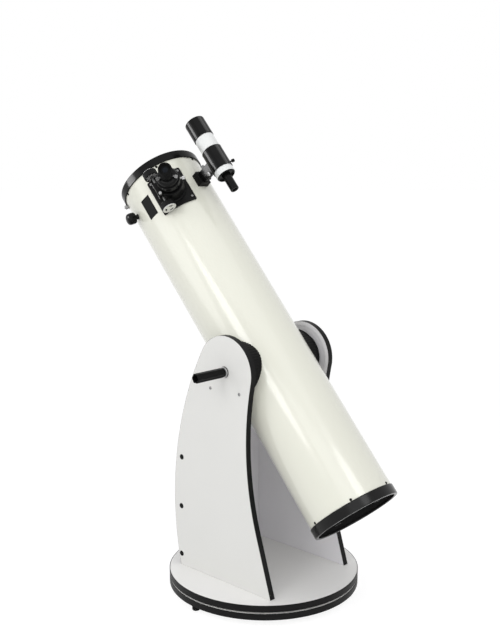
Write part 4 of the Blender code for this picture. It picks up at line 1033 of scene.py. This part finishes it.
# %% Thumbscrews
THUMBSCREW = mm(
    (0, 0), (2, 0), (2.2, 0.3), (2.2, 4.5), (3.8, 4.5), (4.4, 4.9), (4.6, 5.5), (4.6, 11), (4.2, 12.1),
    (3.4, 12.5), (2, 12.5), (1.6, 12.1), (0, 12.1),
)
SEAT_GAP = 0.0003
COLLAR_RADIUS, COLLAR_MIDDLE = 0.0320, 0.180
NOSE_MIDDLE = (DOME_HIGH + NOSE_HIGH) / 2


def thumbscrew(name, finish, body, home, replaced=()):
    """A knurled head on a thin neck."""
    screw = flute(turned(THUMBSCREW, 72), 18, 0.0005, 0.0040, 0.0047, 0.0122)
    settle(name, screw, finish, body, replaced, home, 28)


def across_focuser(radius, height, turn_deg):
    """A place on the focuser's round side, turned from -Y towards the tube's lower end."""
    turn = math.radians(turn_deg)
    way = Vector((-math.sin(turn), -math.cos(turn), 0))
    return FOCUSER @ aim(way, way * (radius + SEAT_GAP) + Vector((0, 0, height)))


collar_home = across_focuser(COLLAR_RADIUS, COLLAR_MIDDLE, 23)
thumbscrew("collar_thumbscrew", BRIGHT_CHROME, "collar_clamp", collar_home, ["drawtube_screw"])
nose_home = across_focuser(NOSE_RADIUS, NOSE_MIDDLE, 45)
thumbscrew("adapter_thumbscrew", ZINC_STEEL, "adapter_clamp", nose_home, ["adapter_screw"])
second_home = across_focuser(NOSE_RADIUS, NOSE_MIDDLE, 180)
thumbscrew("second_adapter_thumbscrew", DARK_STEEL, "draw", second_home)
lock_home = FOCUSER @ aim((0, 0, 1), (-0.0185, 0.0345, 0.1598))
thumbscrew("lock_thumbscrew", BRIGHT_CHROME, "focus_lock", lock_home, ["focus_lock_screw"])

# %% Eyepiece
BARREL_PROFILE = mm(
    (14.675, 190.3), (15.4, 190.3), (15.875, 190.8), (15.875, 200.2), (15, 200.8), (15, 206.2),
    (15.875, 206.8), (15.875, 216.3), (14.675, 216.3),
)
SHELL_PROFILE = mm(
    (0, 216.6), (16.8, 216.6), (17.5, 217.2), (17.5, 218.6), (17.1, 219), (17.1, 219.6), (17.5, 220),
    (17.5, 220.4), (17.1, 220.9), (0, 220.9),
)
CUP_PROFILE = mm(
    (0, 221.2), (18, 221.2), (19, 222.2), (19, 224.5), (18.3, 225.2), (18.3, 227.2), (19, 227.9),
    (19, 230.2), (18.3, 230.9), (18.3, 232.9), (18.8, 233.6), (18.4, 239), (17.8, 240.8), (16.8, 241.7),
    (15.5, 241.3), (14.8, 239.5), (12.8, 234.5), (11.8, 233.7), (0, 233.7),
)
LENS_PROFILE = mm((0, 234.7), (4, 234.5), (7, 234.1), (8, 233.8), (0, 233.8))
for name, profile, finish, slot, node, sharp in (
    ("eyepiece_chrome_barrel", BARREL_PROFILE, BRIGHT_CHROME, "chrome", "eyepiece_barrel", 30),
    ("eyepiece_shell", SHELL_PROFILE, MOULDED_BLACK, "black_plastic", "eyepiece_body", 30),
    ("eyepiece_rubber_cup", CUP_PROFILE, SOFT_RUBBER, "rubber", "eyepiece_cup", 34),
):
    settle(name, turned(profile, 72), finish, "eyepiece", [node], FOCUSER, sharp)
settle("eyepiece_eye_lens", turned(LENS_PROFILE, 48), LENS_COAT, "eyepiece", place=FOCUSER)

# %% [markdown]
# ## Finder
# The small finder scope lies in a sleeve. The sleeve stands on a dovetail foot that slides into a
# shoe on the tube. Two thumbscrews near the sleeve's back aim the finder.

# %% Finder shoe and bracket
SHOE = radial(0.525, -3)
SHOE_TOP, SLOT_LOW = 0.1348, 0.1258
SLOT_HALF_TOP, SLOT_HALF_FLOOR, SLOT_OVER = 0.0095, 0.0125, 0.004
SLOT_SLOPE = (SLOT_HALF_FLOOR - SLOT_HALF_TOP) / (SHOE_TOP - SLOT_LOW)
SLIDE_GAP = 0.0003
SLEEVE_BORE = 0.0276
SLEEVE_PROFILE = [
    (SLEEVE_BORE, -0.0245), (0.0282, -0.0245), (0.0290, -0.0237), (0.0290, -0.0225), (0.02865, -0.0217),
    (0.02865, 0.0402), (0.0290, 0.0410), (0.0290, 0.0422), (0.0282, 0.0430), (SLEEVE_BORE, 0.0430),
]
FINDER_MIDDLE = Vector((-0.010, 0, 0.2025))
FINDER_IN_SHOE = aim((1, 0, 0), FINDER_MIDDLE)


def dovetail(half_top, half_floor, low, high, length):
    """A bar with a dovetail section along X."""
    bm = block((-length / 2, -1, low), (length / 2, 1, high))
    for vert in bm.verts:
        vert.co.y *= half_top if vert.co.z > (low + high) / 2 else half_floor
    return bm


shoe = soften(block((-0.019, -0.018, 0.105), (0.019, 0.018, SHOE_TOP)), 0.0015, 3)
slot_half = SLOT_HALF_TOP - SLOT_OVER * SLOT_SLOPE
shoe = carve(shoe, dovetail(slot_half, SLOT_HALF_FLOOR, SLOT_LOW, SHOE_TOP + SLOT_OVER, 0.05))
shoe = carve(shoe, along_tube(0.1))
settle("finder_base", shoe, MOULDED_BLACK, "optical_tube", ["finder_shoe"], SHOE, 30)

bracket = dovetail(0.0091, 0.0121, SLOT_LOW + SLIDE_GAP, SHOE_TOP, 0.038)
stem = soften(block((-0.017, -0.006, 0.1303), (0.017, 0.006, 0.17465)), 0.0015, 3)
bracket = carve(bracket, stem, "UNION")
sleeve = turned(SLEEVE_PROFILE, 72)
bracket = carve(bracket, moved(sleeve, FINDER_IN_SHOE), "UNION")
bracket = carve(bracket, moved(rod(SLEEVE_BORE, -0.05, 0.06, 72), FINDER_IN_SHOE))
settle("finder_holder", bracket, GLOSS_BLACK, "finder_mount", ["finder_bracket"], SHOE, 30)

# %% Finder screws
STEM_SCREW = mm((0, 2.2), (1.2, 2.2), (1.4, 3.6), (4, 3.6), (5.2, 3), (5.8, 1.8), (5.8, 0.1), (0, 0.1))
AIM_BACK, AIM_REACH = Vector((-0.009, 0, 0)), 0.0293
stem_home = SHOE @ aim((0, 1, 0), (-0.0112, 0.006, 0.160))
settle("stem_screw", turned(STEM_SCREW, 40), WASHER_STEEL, "finder_mount", place=stem_home)
shoe_home = SHOE @ aim((0, -1, 0), (0, -0.0183, 0.1303))
thumbscrew("shoe_thumbscrew", MOULDED_BLACK, "shoe_clamp", shoe_home, ["shoe_screw"])
for number, lean_deg in ((1, 37.0), (2, -53.0)):
    lean = math.radians(lean_deg)
    way = Vector((0, -math.cos(lean), math.sin(lean)))
    home = SHOE @ aim(way, FINDER_MIDDLE + AIM_BACK + way * AIM_REACH)
    body = f"finder_adjuster_{number}"
    node = f"finder_screw_{number}"
    thumbscrew(f"aim_thumbscrew_{number}", MOULDED_BLACK, body, home, [node])

# %% Finder scope
FINDER = SHOE @ FINDER_IN_SHOE
HOOD_PROFILE = mm(
    (24.1, 85.3), (27.7, 85.3), (28.5, 86.1), (28.5, 90), (28.1, 90.5), (28.1, 91.2), (28.5, 91.7),
    (28.5, 140.5), (28.1, 142.4), (27.2, 143), (26.6, 142.4), (26.3, 140.5), (26.3, 117), (24.1, 117),
)
GLASS_PROFILE = mm(
    (0, 117.3), (26, 117.3), (26, 119.7), (20.8, 121.2), (15.6, 122.1), (10.4, 122.8), (5.2, 123.2),
    (0, 123.3),
)
FINDER_TAIL = mm(
    (0, -87.3), (6.2, -87.3), (7.2, -90.3), (8.4, -91), (10.6, -91), (11.6, -90.1), (11.8, -88.8),
    (11.8, -76), (11.4, -75.4), (11.4, -74.2), (11.8, -73.6), (11.8, -56), (12.4, -55.4), (12.4, -42),
    (13.2, -40), (19.8, -39.6), (21.2, -40.4), (22.4, -44), (23.2, -44.5), (24, -44.5), (25, -43.7),
    (25.2, -42.4), (25.2, -35.5), (0, -35.5),
)
finder_wall = soften(ring(0.0255, 0.0268, -0.0415, 0.085, 96), 0.0003)
settle("finder_white_tube", finder_wall, FINDER_WHITE, "finder", ["finder_tube"], FINDER)
hood = turned(HOOD_PROFILE, 96)
settle("finder_hood", hood, GLOSS_BLACK, "finder", ["finder_objective_cell"], FINDER, 30)
settle("finder_glass", turned(GLASS_PROFILE, 72), LENS_COAT, "finder", ["finder_lens"], FINDER)
tail = turned(FINDER_TAIL, 96)
settle("finder_tail", tail, GLOSS_BLACK, "finder", ["finder_eyepiece"], FINDER, 30)

# %% [markdown]
# ## Guide knob and plate
# A fluted knob on a thin neck lets a hand steer the tube. Beside the focuser is a thin black plate,
# bent to the tube, and left bare.

# %% Guide knob and plate
GUIDE_PROFILE = mm(
    (0, 0), (7.5, 0), (7.8, 0.6), (6.2, 4), (6.2, 7.8), (11, 8.6), (15, 10.6), (16.3, 13.5), (16.3, 24),
    (15.8, 27.5), (14.2, 30.8), (10.8, 33.1), (6, 33.9), (0, 34),
)
GUIDE_PLACE = radial(0.537, 112, 0.1181)
guide = flute(turned(GUIDE_PROFILE, 120), 10, 0.0006, 0.0145, 0.0060, 0.0300)
settle("steering_knob", guide, GLOSS_BLACK, "optical_tube", ["guide_knob"], GUIDE_PLACE, 30)
bare_plate = saddle(TUBE_RADIUS + 0.00005, TUBE_RADIUS + 0.0006, 0.0160, 0.062, 0.002, 12)
settle("bare_plate", bare_plate, LABEL_BLACK, "optical_tube", place=radial(0.521, 81.8))

# %% [markdown]
# ## Gloss on the black pieces
# Black plastic shows its shape only through what it mirrors. Two soft boxes, one behind
# the telescope on the left and one above it, are linked to glossy black pieces alone. They draw pale
# lines along them and add no light to the white tube and panels.

# %% Gloss on the black pieces
FINDER_BLACKS = ("finder_hood", "finder_holder")
LEFT_BLACKS = FINDER_BLACKS + ("finder_tail", "mouth_ring", "steering_knob")
for box, names in ((gloss_box, LEFT_BLACKS), (band_box, FINDER_BLACKS)):
    glossy = bpy.data.collections.new(f"{box.name}_pieces")
    for name in names:
        glossy.objects.link(bpy.data.objects[name])
    box.light_linking.receiver_collection = glossy

# %% [markdown]
# ## Last update
# The view layer is brought up to date, so every piece stands where its body puts it.

# %% Update the view layer
bpy.context.view_layer.update()
